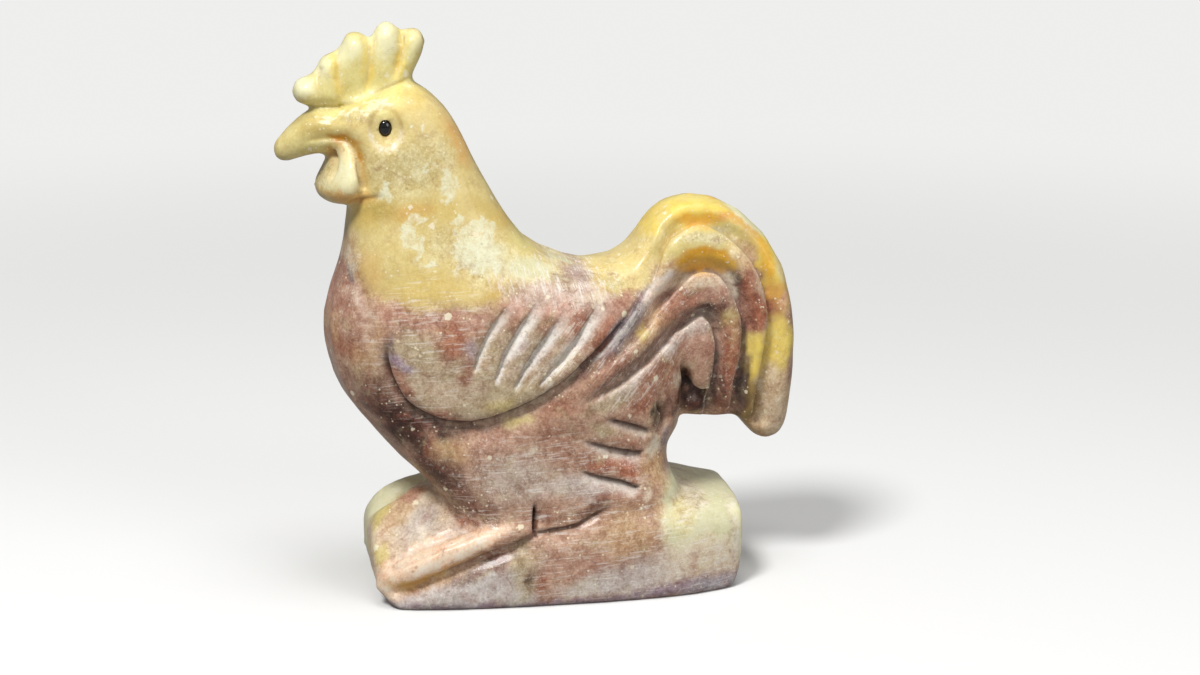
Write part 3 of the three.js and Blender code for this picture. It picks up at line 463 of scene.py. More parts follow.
marbling = [
    # neck and head
    ("gold", -8, 40, 12.5, 11.6, 0, 1, 0.2), ("gold", -9.6, 30.5, 6.9, 3.8, 0, 1, 0.45),
    ("gold", -1.6, 30.4, 5, 1.9, -8, 1, 0.3), ("deepGold", -11, 28.3, 4.4, 1.3, 3, 0.5, 0.8),
    ("deepGold", -5.2, 27, 1.2, 1, 0, 0.9, 0.6), ("deepGold", -9.6, 34.6, 5.4, 1, 2, 0.5, 0.8),
    ("deepGold", -3.1, 32.4, 1.1, 2.6, 40, 0.75), ("honey", -15.2, 29.9, 1, 1.3, 20, 0.5, 0.8),
    ("deepGold", -15.6, 34.6, 1.2, 1.6, 0, 0.8, 0.8), ("cream", -16.2, 46.6, 7.4, 3.9, 0, 0.95, 0.3),
    ("cream", -20.8, 40.9, 3.6, 2.6, 20, 0.8, 0.5), ("cream", -17, 42.9, 4.6, 0.6, 4, 0.85, 0.5),
    # The ivory on the comb's lobe tips is partly paler stone and partly painted highlight; the narrow sun
    # streaks on the comb are painted shade in its valleys.
    ("ivory", -20.4, 44.8, 1, 1, 20, 0.9), ("ivory", -18.6, 46.4, 0.9, 1, 20, 0.8),
    ("ivory", -16.2, 47.7, 1.1, 1.2, 10, 0.9), ("ivory", -13.2, 48.8, 1.2, 1.6, 0, 0.9),
    ("ivory", -10.6, 48.2, 0.7, 1.3, -30, 0.5), ("deepGold", -11.2, 43.7, 1.5, 0.8, 20, 0.6, 0.8),
    ("sun", -17.3, 45.4, 0.4, 1.8, 10, 0.6, 0.9), ("sun", -14.6, 46, 0.4, 2, 0, 0.6, 0.9),
    ("sun", -11.9, 46.2, 0.4, 2.2, -8, 0.6, 0.9), ("ivory", -17.4, 36.7, 1.5, 0.6, 0, 0.7, 0.8),
    # The first four amber rows and the first honey row are painted shade: in the mouth line, the crease
    # behind the wattle, the wattle's groove and under the throat.
    ("amber", -16.9, 40.6, 1.3, 0.35, -8, 0.95), ("amber", -15.6, 39.3, 0.35, 1, 24, 0.8),
    ("amber", -15.4, 37.6, 0.3, 0.9, 4, 0.6, 0.8), ("amber", -17.9, 39, 0.3, 0.9, 0, 0.9),
    ("honey", -15.7, 35.6, 1.1, 0.35, 6, 0.9, 0.8), ("honey", -7.4, 40.2, 0.8, 2.6, 30, 0.9),
    ("orange", -12, 34.6, 2.2, 0.6, 6, 0.4, 0.8), ("haze", -12.6, 38, 2.4, 2, 0, 0.7, 0.8),
    # The shell here and the ivory rows at x -17 and -17.4 paint the highlight along the wattle's right
    # lobe.
    ("haze", -9.6, 38.6, 2, 1.6, 0, 0.6, 0.8), ("shell", -16.9, 37.7, 1.1, 2.2, 4, 0.9, 0.5),
    ("haze", -18.6, 37.3, 0.6, 1, -14, 0.7), ("ivory", -17, 37.6, 0.8, 1.3, 4, 0.85),
    ("lime", -18.9, 41.5, 1.6, 0.9, 10, 0.7, 0.8), ("haze", -15.6, 42.6, 1.2, 0.5, 5, 0.5, 0.8),
    ("lime", -14.2, 34.8, 1.2, 0.9, 0, 0.95, 0.8), ("orange", -17.4, 35.7, 1.2, 0.35, 0, 0.7),
    ("haze", -9, 31.8, 1.6, 1.4, 0, 0.6, 0.8), ("willow", -5.4, 30.6, 2.6, 1.9, 0, 0.7, 0.8),
    ("cream", -2, 31.4, 1.5, 1.1, -30, 0.8, 0.8),
    # breast and belly
    ("russet", -18.4, 27.6, 1.9, 5.2, 4, 1, 0.3), ("rose", -17.2, 27, 1.6, 3, 0, 0.7, 0.6),
    ("rose", -14, 26.6, 1.6, 0.9, -20, 0.8), ("clay", -16.5, 25, 1.2, 2, 0, 0.7, 0.8),
    ("tan", -15.2, 23.8, 0.6, 2.6, 0, 0.5, 0.8), ("pearl", -16.6, 27.6, 0.45, 0.6, 15, 0.5, 0.9),
    ("tan", -16.9, 31.4, 0.8, 1.1, 0, 0.8, 0.8), ("plum", -16.7, 29.3, 0.3, 0.8, 6, 0.8, 0.6),
    ("pearl", -16.6, 30.4, 0.6, 0.8, 0, 0.6, 0.8), ("tan", -18.1, 24.4, 0.6, 1.4, 0, 0.5, 0.8),
    ("brick", -17.2, 22.8, 1, 0.6, 0, 0.8), ("olive", -15.6, 21.6, 0.8, 0.9, 0, 0.5, 0.9),
    # The bark and umber rows down the breast's front and belly are partly darker stone and partly painted
    # shade on the underside; the umber strips at z 16 are the painted shadow under the wing's lower edge.
    ("tan", -16.2, 22, 0.9, 1.3, 0, 0.6, 0.9), ("bark", -14.9, 20, 2.4, 1, -20, 0.5),
    ("bark", -14.4, 18.6, 1.7, 1.3, -38, 0.9, 0.6), ("umber", -15.3, 18.1, 1.3, 0.8, -38, 0.35, 0.6),
    ("umber", -12.8, 16.6, 1.7, 2.2, 36, 1, 0.5), ("umber", -10.6, 13.4, 0.9, 2.6, 38, 0.9, 0.5),
    ("bark", -9, 11, 1.5, 3.6, 34, 0.95, 0.6), ("umber", -10.2, 12, 0.6, 1.8, 36, 0.7),
    ("bark", -6.3, 8.8, 1.7, 0.9, 0, 0.7, 0.8), ("umber", -10.2, 16, 2.2, 0.65, -14, 0.9, 0.6),
    ("umber", -6.6, 16.2, 2.6, 0.3, 4, 0.7), ("brick", -10.4, 14.4, 0.7, 0.5, 0, 0.6),
    ("tan", -8.8, 14, 1.5, 1.1, 10, 0.85), ("brick", -7.2, 7.2, 0.8, 0.5, 0, 0.9),
    ("rose", -5, 14.6, 2.2, 1.2, 0, 0.5, 0.9),
    # wing and saddle
    ("taupe", -6.6, 21.8, 7.6, 5, 0, 1, 0.25), ("rose", -10.4, 25.4, 3.2, 0.9, 0, 0.8),
    ("rose", -8.7, 26.3, 1.8, 0.5, 4, 0.7), ("rose", -6.8, 25.9, 2.2, 0.7, 6, 0.8),
    ("russet", -9, 24.2, 1.4, 1.9, -12, 0.9), ("brick", -8.6, 24, 0.8, 1.2, -10, 0.6, 0.8),
    ("russet", -7.7, 21.4, 0.7, 1.4, -10, 0.8, 0.8), ("russet", -6.2, 24.8, 1.3, 0.8, 0, 0.6, 0.8),
    ("mist", -3, 23.1, 0.4, 1.3, -34, 0.7, 0.8), ("mist", -1.2, 22.6, 0.4, 1.5, -38, 0.7, 0.8),
    ("mist", 0.8, 22.8, 0.4, 1.5, -40, 0.6, 0.8), ("olive", -11.4, 22.8, 1.7, 2, -20, 0.6, 0.8),
    ("blush", -9.8, 19.4, 2.6, 1.1, -20, 0.6, 0.9), ("lilac", -12.9, 22, 1.2, 0.5, -30, 0.95, 0.6),
    ("plum", -13.7, 23.4, 0.3, 1, -10, 0.7, 0.8), ("plum", -13.2, 21.3, 0.8, 0.3, -38, 0.7),
    ("lilac", -7.2, 23.4, 0.6, 0.9, 0, 0.6, 0.9), ("russet", -12.9, 20, 0.8, 1.7, 24, 0.9, 0.6),
    ("russet", -9.4, 17.4, 3, 0.5, -12, 0.4, 0.6), ("brick", -9, 17.2, 1.4, 0.35, -10, 0.7),
    ("olive", -5.6, 22, 1.1, 1.6, -25, 0.8), ("olive", -4.2, 18.8, 3.4, 1.2, 14, 0.85, 0.6),
    ("straw", -4.6, 18, 1.2, 0.6, 10, 0.5, 0.9), ("pink", -3.3, 26.7, 1.3, 0.6, 0, 0.9, 0.6),
    ("russet", -3.4, 25.6, 0.9, 0.8, -20, 0.6, 0.8), ("pink", 0.6, 26.3, 2.2, 0.7, 6, 0.75, 0.6),
    ("russet", -0.2, 25, 0.7, 0.8, -30, 0.6, 0.8), ("brick", 2.3, 25.2, 0.9, 0.9, -30, 0.75),
    # The chalk and pearl on the saddle are partly pale scratched stone and partly the painted glare of the
    # lamp.
    ("willow", -1.6, 29.2, 2.4, 0.9, -6, 0.9), ("chalk", -0.8, 27.5, 2.6, 0.8, 2, 0.4),
    ("chalk", 3, 27.6, 2, 1.3, -8, 0.65, 0.5), ("pearl", 4.3, 26.7, 1, 0.6, -30, 0.9),
    ("mauve", 2.4, 28.5, 1.6, 0.5, -6, 0.6), ("taupe", 0.9, 28.1, 1.3, 0.5, 0, 0.7, 0.8),
    ("willow", 3, 29.6, 2.4, 0.5, -6, 0.9, 0.6), ("gold", 7, 28.8, 3.2, 1.9, 6, 1, 0.3),
    ("haze", 6.5, 27.8, 1.4, 0.6, 0, 0.9, 0.8), ("rose", 6, 26.2, 1.2, 0.7, 20, 0.8),
    ("mauve", 7.8, 28, 0.5, 0.7, 0, 0.7, 0.8), ("pearl", 8.5, 27.4, 0.5, 0.7, 0, 0.8, 0.8),
    ("brick", 4.6, 23.9, 0.6, 1.8, -38, 0.8, 0.6), ("straw", -2.9, 16.6, 1.3, 0.35, 8, 0.7, 0.9),
    ("straw", 1, 21.7, 0.9, 0.3, 28, 0.7),
    # tail: the outer bands
    ("sun", 11.2, 33, 4.6, 2.4, 0, 1, 0.25), ("gold", 9.2, 30.4, 2.4, 3.6, -14, 1, 0.4),
    ("sun", 16.8, 32.4, 4, 2.6, -28, 1, 0.3), ("sun", 20.4, 28.8, 2.2, 4.4, 14, 1, 0.3),
    ("cream", 12.6, 34.1, 2.7, 0.3, -2, 0.5), ("sun", 9.8, 32.6, 0.8, 1.6, -30, 0.9, 0.6),
    ("saffron", 14.1, 32.6, 2.3, 0.6, -3, 1, 0.5), ("orange", 16.4, 32.3, 1.5, 0.5, -26, 0.8, 0.6),
    ("orange", 18.2, 31, 0.6, 1.2, 45, 0.9, 0.6), ("saffron", 19.2, 29.6, 0.6, 1.3, 34, 0.9, 0.5),
    ("saffron", 20, 27.9, 0.6, 1.1, 14, 0.95, 0.5), ("orange", 16.4, 34.1, 1.5, 0.4, -22, 0.7, 0.6),
    # The ivory along the tail's outer rim is a painted highlight.
    ("ivory", 18.2, 32.1, 2.4, 0.4, -41, 0.9, 0.6), ("shell", 21.3, 27.9, 0.5, 1.7, 12, 0.8),
    ("deepGold", 11.3, 31.2, 0.6, 1.4, -28, 0.9), ("orange", 20.7, 25.3, 1.4, 1.3, 6, 0.85, 0.5),
    ("brick", 20.6, 24.4, 0.8, 0.6, 0, 0.8), ("pink", 21.7, 25.1, 0.4, 0.7, 0, 0.7, 0.8),
    ("straw", 14.2, 30.2, 4.4, 2, 0, 0.95, 0.35), ("beige", 11, 28, 1.5, 1.4, 40, 0.9, 0.5),
    ("haze", 14.2, 31.1, 2.6, 0.6, 0, 0.9, 0.5), ("amber", 14.3, 28.95, 2.9, 1.05, 0, 1, 0.35),
    ("saffron", 14.5, 28.7, 2.3, 0.7, 0, 0.95), ("tan", 17.5, 29.2, 1, 1.5, 35, 0.95, 0.5),
    ("shell", 16.9, 30.1, 0.7, 0.7, 30, 0.8), ("russet", 18.2, 25.9, 1.6, 2.6, 14, 1, 0.35),
    ("umber", 16.9, 26.7, 0.6, 1.4, 22, 0.9, 0.5), ("brick", 17.9, 25.9, 0.6, 1.4, 16, 0.8, 0.6),
    ("blush", 18.9, 26.8, 0.35, 1.7, 16, 0.7, 0.6), ("brick", 19.2, 24.2, 1.9, 0.7, 16, 0.95, 0.4),
    ("sun", 20.9, 21.2, 1.5, 2.8, 0, 0.85, 0.3), ("sun", 18.8, 19.2, 1.1, 3.4, -4, 0.95, 0.25),
    ("brick", 18.4, 23, 1.1, 0.9, 30, 0.95, 0.4), ("beige", 20.4, 15.6, 2.4, 3.3, -2, 1, 0.3),
    ("blush", 20.7, 14.6, 1.3, 2, 0, 0.8), ("beige", 20.2, 18.6, 0.6, 1, -20, 0.8, 0.6),
    ("moss", 18.3, 16, 0.7, 2.2, -2, 0.9, 0.6), ("moss", 19.7, 19.8, 0.2, 3.6, -4, 0.4, 0.8),
    # The umber strip at x 17.7 is painted shade in the gap between the outer band and the second feather.
    ("umber", 17.7, 18.8, 0.55, 4.4, -3, 1, 0.5), ("moss", 17.9, 20.4, 0.35, 1.7, 0, 0.9),
    # tail: the feathers
    ("blush", 13.8, 27.2, 2.3, 0.75, 8, 0.85, 0.5), ("pearl", 16.3, 26.6, 0.5, 1.4, 18, 0.9, 0.6),
    ("rose", 13.6, 25.9, 2, 0.7, 14, 0.95, 0.6), ("brick", 12.9, 25.5, 0.9, 0.4, 20, 0.7),
    # The umber and bark here are painted shade in the crease above the third feather's tip.
    ("umber", 14.2, 24.8, 1.3, 0.5, 4, 0.95, 0.5), ("bark", 15.5, 24.9, 0.6, 0.9, 0, 0.8, 0.6),
    ("straw", 16.2, 23.7, 0.6, 0.9, 0, 0.65), ("brick", 16.4, 20.4, 0.9, 3.2, 3, 0.9, 0.4),
    ("tan", 16.5, 22.3, 0.45, 1.1, 0, 0.7), ("russet", 16.1, 17, 1, 2.2, 3, 1, 0.5),
    # The umber strip at x 15.1 is painted shade in the gap between the third feather and the second
    # feather's blade.
    ("bark", 15.8, 17.2, 0.5, 1.7, 0, 0.85, 0.6), ("umber", 15.1, 18.4, 0.3, 3, 2, 0.85, 0.5),
    ("tan", 9, 23.7, 2, 0.8, 38, 0.9, 0.6), ("straw", 7.9, 23.5, 0.8, 0.5, 38, 0.8),
    ("russet", 11.4, 25.2, 1.6, 0.8, 38, 0.9, 0.6), ("russet", 4.8, 20.8, 2.2, 0.8, 32, 0.7),
    # The bark band here is painted shade between the second and third feathers.
    ("bark", 8.3, 21.8, 4.8, 0.5, 32, 0.9, 0.6), ("smoke", 6.6, 24.2, 3.4, 0.9, 45, 0.95, 0.5),
    ("plum", 6.1, 24, 1.6, 0.4, 45, 0.55, 0.8), ("rust", 4.2, 22.4, 1.2, 0.4, 42, 0.95),
    ("mist", 9.8, 26.7, 2.3, 0.7, 45, 1, 0.6), ("bone", 10, 26.8, 1.4, 0.6, 45, 0.95),
    # The bark rows on this line and the next are painted shade in the trough under the wing's edge and in
    # the crease above the third feather.
    ("bark", 3, 20.9, 1.8, 0.6, 38, 0.9, 0.6), ("ash", 13.2, 23.5, 1.7, 0.8, 22, 0.95, 0.6),
    ("bark", 12.3, 24.1, 1.4, 0.4, 28, 0.9, 0.6), ("mist", 10.7, 21.7, 1.3, 0.5, 32, 0.8),
    ("rose", 13.6, 21.2, 1.4, 1.7, 0, 0.8, 0.6), ("olive", 4.8, 17.8, 2.2, 0.8, 22, 0.8, 0.6),
    ("ash", 7.8, 19.9, 3.2, 0.7, 31, 0.85, 0.8), ("russet", 9.6, 19.6, 1.9, 1.3, 24, 0.95, 0.6),
    ("brick", 8, 17.2, 1.3, 0.7, 20, 0.7), ("pearl", 11.4, 18.8, 0.4, 0.6, 0, 0.6, 0.8),
    # The umber rows from here on are painted shade under the third feather's ragged end and in the notches
    # of the fan.
    ("bark", 10.8, 16.4, 0.9, 0.9, 0, 0.8), ("umber", 13.3, 16.3, 1.4, 1.1, 0, 1, 0.5),
    ("umber", 11.7, 17.4, 0.45, 1.5, -8, 0.9, 0.5), ("umber", 9.1, 16, 0.4, 1, -14, 0.9, 0.5),
    ("umber", 12.5, 18.4, 0.45, 1.3, 10, 1, 0.5),
    # thigh and haunch
    ("ash", -3, 11.4, 3, 2, 0, 0.7, 0.9), ("mist", 2.6, 10.4, 3, 1, -6, 0.65, 0.9),
    ("pearl", -2, 14.1, 0.5, 0.4, 0, 0.7, 0.8), ("russet", 0.6, 14.4, 1.2, 1.4, 0, 0.6, 0.9),
    ("russet", 0.6, 17.3, 1.7, 0.8, 0, 0.7, 0.8), ("olive", 4.4, 15.4, 1.4, 0.6, -18, 0.8),
    ("brick", 6.4, 14.3, 1.8, 0.4, -18, 0.5, 0.6), ("brick", 4.4, 12.4, 1.6, 0.5, -8, 0.85),
    ("brick", 6.7, 11.9, 1.3, 0.9, -12, 1, 0.6), ("brick", 4.8, 9.4, 1.2, 0.4, -8, 0.6, 0.8),
    # The bark rows here are painted shade along the thigh's crease.
    ("bark", -0.6, 8, 2.6, 0.6, 0, 0.6, 0.9), ("bark", 3.4, 8.4, 1.6, 0.4, 24, 0.8),
    ("tan", 9.4, 11.8, 1.4, 1.9, 0, 0.85), ("smoke", 10.3, 13.7, 0.6, 1.1, 0, 0.8),
    # The first pearl is a painted highlight on the haunch.
    ("pearl", 9, 13.5, 0.6, 0.8, 0, 0.95), ("pearl", 8.2, 9.4, 0.3, 0.7, 0, 0.8, 0.8),
    # log
    ("blush", -13, 6.4, 4.6, 4.4, 0, 1, 0.2), ("lilac", -14.6, 8.7, 1.9, 0.4, 36, 0.8, 0.6),
    ("straw", -14, 7.8, 2.6, 0.6, 38, 0.95, 0.5), ("tan", -12.9, 7.3, 2.4, 0.5, 38, 0.8),
    ("russet", -11.3, 8.9, 1.5, 0.4, 38, 0.8, 0.6), ("ash", -11.3, 6.8, 2.4, 0.8, 38, 0.9, 0.6),
    ("pearl", -8.7, 6.9, 0.8, 0.4, 10, 0.6), ("ash", -9.9, 6.4, 0.9, 0.6, 30, 0.7, 0.8),
    ("pearl", -11.2, 6.2, 0.4, 0.7, 0, 0.8), ("straw", -15, 4.4, 0.7, 0.7, 0, 0.85, 0.6),
    # Along the leg: the first bone is its painted highlight, the orange strip its painted shaded underside,
    # and the tan, bark, honey and apricot below are the painted shade beneath it.
    ("salmon", -9.8, 4.9, 6.6, 0.95, 21, 1, 0.3), ("orange", -11, 3.3, 4.4, 0.25, 20, 0.75),
    ("bone", -9.2, 4.9, 3, 0.5, 21, 0.9), ("mist", -8.6, 1.4, 6.4, 1.7, 14, 0.95, 0.4),
    ("tan", -10.6, 2.4, 3.4, 0.5, 20, 0.9, 0.8), ("bark", -5.8, 3.7, 3.6, 0.5, 21, 0.85, 0.8),
    ("honey", -12, 2.6, 3, 0.4, 19, 0.95), ("apricot", -13.2, 2.3, 1.6, 0.4, 16, 0.9),
    ("honey", -13.2, 2.2, 1.4, 0.5, 14, 0.85), ("bone", -15, 1.6, 1.3, 0.8, 5, 0.9),
    ("lilac", -8, 0.2, 6, 0.4, 0, 0.8, 0.8), ("mist", -3.2, 1, 1.8, 0.8, 0, 0.85),
    ("olive", -2.8, 3.4, 0.9, 2.4, 0, 0.9, 0.6), ("bark", -2.5, 2.6, 0.4, 0.6, 0, 0.8),
    ("brick", -1.2, 2.4, 0.6, 1.2, -10, 0.7, 0.8), ("rose", 2.6, 4.6, 3.4, 1.8, 8, 0.7),
    ("blush", 3, 5.6, 2.4, 0.8, 8, 0.45, 0.9), ("blush", -1.6, 4.4, 0.8, 0.8, 0, 0.6, 0.9),
    ("tan", 6.6, 6.2, 2.4, 1.9, 20, 0.7, 0.8), ("mist", 7.4, 2.4, 4.6, 1.4, 4, 0.8),
    ("mist", 2.6, 1.6, 2.4, 0.7, 2, 0.6, 0.8), ("willow", 13.8, 7, 4.7, 4.6, 0, 1, 0.2),
    # The mist and ivory at x 17 brighten the log's rounded right end: painted light.
    ("pearl", 13.6, 3.2, 4.4, 2, 0, 0.85, 0.6), ("mist", 16.9, 5.2, 0.9, 1.9, 0, 0.7, 0.8),
    ("ivory", 17.1, 5.4, 0.7, 2.4, 0, 0.9, 0.8), ("straw", 11.4, 7, 1.3, 1.4, 0, 0.4, 0.8),
    ("tan", 9.3, 8.3, 0.5, 0.8, 0, 0.7, 0.8), ("rose", 12.3, 3.1, 0.4, 1.2, 0, 0.6, 0.9),
    ("smoke", 13.4, 10.5, 2.6, 0.8, -16, 0.8, 0.8), ("ash", 12.6, 8.2, 1.6, 0.6, -10, 0.5, 0.8),
    ("lilac", 11.4, 0.8, 4.6, 0.7, 4, 0.85), ("slate", 15.4, 0.8, 2.6, 0.7, 4, 0.9),
    ("lilac", 3, 0.3, 8, 0.5, 2, 0.75),
]

frostPatches = [  # pale crusts on the neck, with ragged edges
    (-6.4, 31.5, 1.9, 1.9, 0), (-5.5, 29.9, 1.7, 0.8, -10), (-7.9, 30, 0.8, 0.4, 0),
    (-5.2, 33.1, 0.9, 0.6, -30), (-11.9, 32.8, 0.9, 1.2, 10), (-11.2, 31.3, 0.5, 1.1, 0),
    (-10.4, 30.2, 0.8, 0.4, 0), (-8.4, 36.6, 0.8, 1.4, -5), (-7.8, 33.6, 0.8, 0.4, 0),
    (-11, 33.9, 1.2, 0.4, 0), (-10.7, 41, 0.3, 0.9, 0), (-10.2, 38.3, 0.5, 0.35, 20),
    (-13.4, 36.3, 0.5, 0.7, 0), (-17, 42.6, 2.1, 0.3, 6), (-14, 43.4, 1.3, 0.35, 18),
    (-11.7, 41.1, 0.3, 0.3, 0),
]

strokes = {  # where the file's marks run upwards, along and slanting, and where powder clings
    "powder": [
        (9.4, 26, 3.8, 1.8, 45), (8, 19.6, 5, 2.6, 28), (0, 27.6, 6.5, 1.8, 0), (-1.4, 22.6, 6, 2.6, 10),
        (17.2, 32.6, 4.6, 0.7, -38), (14.4, 25.6, 3.2, 2.6, 0), (16.6, 21, 1.2, 5, 2),
        (-17.4, 27.6, 1.4, 4, 4), (5.6, 13.4, 4.6, 3.2, 0), (-4, 12.6, 8, 3, -6), (-8.6, 6.4, 5, 1.6, 20),
        (20.2, 18, 1.4, 4.6, 0), (-6.6, 2.2, 6, 1.6, 14), (8, 31.6, 2, 2.4, -40),
    ],
    "upward": [(0.6, 28.4, 6, 2.1, -6)],
    "slant": [(0.6, 22.6, 4.6, 2.6, 50), (7.6, 24.2, 6, 1.6, 43), (8, 20.2, 5, 2, 32)],
    "along": [(0, 9, 9, 7, 0), (8, 4, 14, 5, 0), (-10.5, 23, 5.5, 6.5, 0)],
}


def ellipse(flat, x, z, halfWidth, halfHeight, turn):
    c, s = math.cos(math.radians(turn)), math.sin(math.radians(turn))
    dx, dz = flat[:, 0] - x, flat[:, 1] - z
    return np.hypot((dx * c + dz * s) / halfWidth, (dz * c - dx * s) / halfHeight)


grainOfStone = {
    "softness": 0.7,  # of a patch's edge, where its row gives no other
    "drift": (3.2 * mm, 0.5),  # size of the large waves in the bands' edges, and their reach in mm
    "ripple": (0.9 * mm, 0.26),
    "crumbs": (0.55 * mm, 0.45),
    "warmth": (1.06, 1.01, 0.97),  # red, green and blue of the brown stone against the paint chart
    "farLobe": ((-1.6, 0.8), (-8.6, -9.4), (10.4, 9.2)),  # where it starts along y, x and z, mm
    "clear": (0.48, 0.64),  # yellowness from which the stone is clear and less mottled
    "paleClear": ((0.3, 0.36), (0.6, 0.72)),  # or yellowness and brightness, in the pale parts
}


# Spreads the tints over the skin, with edges that wander through the stone.
def marble(points):
    driftSize, driftReach = grainOfStone["drift"]
    rippleSize, rippleReach = grainOfStone["ripple"]
    crumbSize, crumbReach = grainOfStone["crumbs"]
    drift = np.column_stack([noiseAt(points, driftSize, seed, 3) for seed in (1, 2)])
    ripple = np.column_stack([noiseAt(points, rippleSize, seed, 3) for seed in (3, 4)])
    flat = points[:, [0, 2]] / mm + driftReach * drift + rippleReach * ripple
    tint = np.tile(toLinear(*tints["clay"]), (len(points), 1))
    for name, x, z, halfWidth, halfHeight, turn, strength, *own in marbling:
        gap = ellipse(flat, x, z, halfWidth, halfHeight, turn)
        edge = 0.8 * (own[0] if own else grainOfStone["softness"])
        weight = strength * smoothStep(1 + edge, 1 - edge, gap)
        tint += (toLinear(*tints[name]) - tint) * weight[:, None]
    # The log's far lobe is paler than its near one.
    inward, ahead, above = grainOfStone["farLobe"]
    lobe = smoothStep(*inward, points[:, 1] / mm + drift[:, 1])
    lobe *= smoothStep(*ahead, flat[:, 0]) * smoothStep(*above, flat[:, 1])
    tint += (toLinear(*tints["willow"]) - tint) * lobe[:, None]
    ragged = points[:, [0, 2]] / mm + 0.4 * drift + 0.6 * ripple
    crumbs = crumbReach * noiseAt(points, crumbSize, 5)
    frost = np.zeros(len(points))
    for x, z, halfWidth, halfHeight, turn in frostPatches:
        gap = ellipse(ragged, x, z, halfWidth, halfHeight, turn) + crumbs
        frost = np.maximum(frost, smoothStep(1.15, 0.7, gap))
    yellowness = 1 - tint[:, 2] / np.maximum(tint[:, 1], 1e-4)
    yellow, bright = grainOfStone["paleClear"]
    pale = smoothStep(*yellow, yellowness) * smoothStep(*bright, tint[:, 1])
    clear = np.maximum(smoothStep(*grainOfStone["clear"], yellowness), pale)
    tint *= 1 + (np.array(grainOfStone["warmth"]) - 1) * (1 - clear)[:, None]
    return tint, clear, frost


def setAttribute(mesh, name, values):
    kind = "FLOAT_COLOR" if values.ndim == 2 else "FLOAT"
    layer = mesh.attributes.new(name, kind, "POINT")
    if values.ndim == 2:
        filled = np.column_stack([values, np.ones(len(values))])
        layer.data.foreach_set("color", filled.reshape(-1))
    else:
        layer.data.foreach_set("value", values)


def makeSkin():
    piece = fineCopy(stone, skinShape["cell"])
    easeFacets(piece)
    refineCuts(piece)
    web = Web(piece.data)
    marks = carve(piece, web)
    setEye(piece, marks)
    points = web.ease(pointsOf(piece.data), 1, 0.35)
    broad, narrow = skinShape["waveSizes"]
    wave = noiseAt(points, broad, 7) + 0.5 * noiseAt(points, narrow, 8)
    standing = smoothStep(*skinShape["standing"], points[:, 2])
    points += normalsOf(piece.data) * (wave * skinShape["handWave"] * standing)[:, None]
    points = np.clip(points, np.array(cadBox[0]), np.array(cadBox[1]))
    setPoints(piece.data, points)

    soft = web.roundOff(points, 25)
    bulge = ((points - soft) * normalsOf(piece.data)).sum(axis=1) / mm
    bulge = web.ease(bulge, 1)
    tint, clear, frost = marble(points)
    layers = {"tint": tint, "frost": frost, "clear": clear, "bulge": bulge, **marks}
    flat = points[:, [0, 2]] / mm
    for name, patches in strokes.items():
        layers[name] = np.zeros(len(points))
        for patch in patches:
            near = smoothStep(1.25, 0.7, ellipse(flat, *patch))
            layers[name] = np.maximum(layers[name], near)
    for name, values in layers.items():
        setAttribute(piece.data, name, values)
    piece.data.shade_smooth()
    piece.data.calc_loop_triangles()
    print("skin triangles", len(piece.data.loop_triangles), "bulge", bulge.min(), bulge.max())
    return piece


# Small helpers to wire materials.


class Board:
    def __init__(self, name):
        self.material = bpy.data.materials.new(name)
        self.material.use_nodes = True
        self.tree = self.material.node_tree
        self.tree.nodes.clear()
        self.output = self.tree.nodes.new("ShaderNodeOutputMaterial")

    def node(self, kind, values=None, **settings):
        made = self.tree.nodes.new("ShaderNode" + kind)
        for key, value in settings.items():
            setattr(made, key, value)
        for key, value in (values or {}).items():
            self.put(made.inputs[key], value)
        return made

    def put(self, socket, value):
        if isinstance(value, bpy.types.NodeSocket):
            self.tree.links.new(value, socket)
        else:
            socket.default_value = value

    def attribute(self, name, output="Fac"):
        return self.node("Attribute", attribute_name=name).outputs[output]

    def math(self, operation, a, b=0.0, clamp=False):
        return self.node("Math", {0: a, 1: b}, operation=operation, use_clamp=clamp).outputs[0]

    def times(self, a, b, clamp=False):
        return self.math("MULTIPLY", a, b, clamp)

    def plus(self, a, b, clamp=False):
        return self.math("ADD", a, b, clamp)

    def less(self, a, b, clamp=False):
        return self.math("SUBTRACT", a, b, clamp)

    def larger(self, a, b):
        return self.math("MAXIMUM", a, b)

    def ramp(self, value, low, high, start=0.0, end=1.0):
        made = self.node(
            "MapRange",
            {"Value": value, "From Min": low, "From Max": high, "To Min": start, "To Max": end},
            interpolation_type="SMOOTHSTEP",
        )
        return made.outputs["Result"]

    def noise(self, place, size, detail=3.0, rough=0.55, distortion=0.0):
        values = {"Vector": place, "Scale": 1.0 / size, "Detail": detail, "Roughness": rough}
        values["Distortion"] = distortion
        return self.node("TexNoise", values).outputs["Fac"]

    def stretched(self, place, scale):
        return self.node("Mapping", {"Vector": place, "Scale": scale}).outputs["Vector"]

    def turned(self, place, turn):
        return self.node("Mapping", {"Vector": place, "Rotation": turn}).outputs["Vector"]

    def mix(self, factor, a, b, blend="MIX"):
        made = self.node("Mix", data_type="RGBA", blend_type=blend)
        self.put(made.inputs[0], factor)
        self.put(made.inputs[6], a)
        self.put(made.inputs[7], b)
        return made.outputs[2]

    def finish(self, surface):
        self.put(self.output.inputs["Surface"], surface)
        return self.material


def colour(red, green, blue):
    return (*toLinear(red, green, blue).tolist(), 1.0)


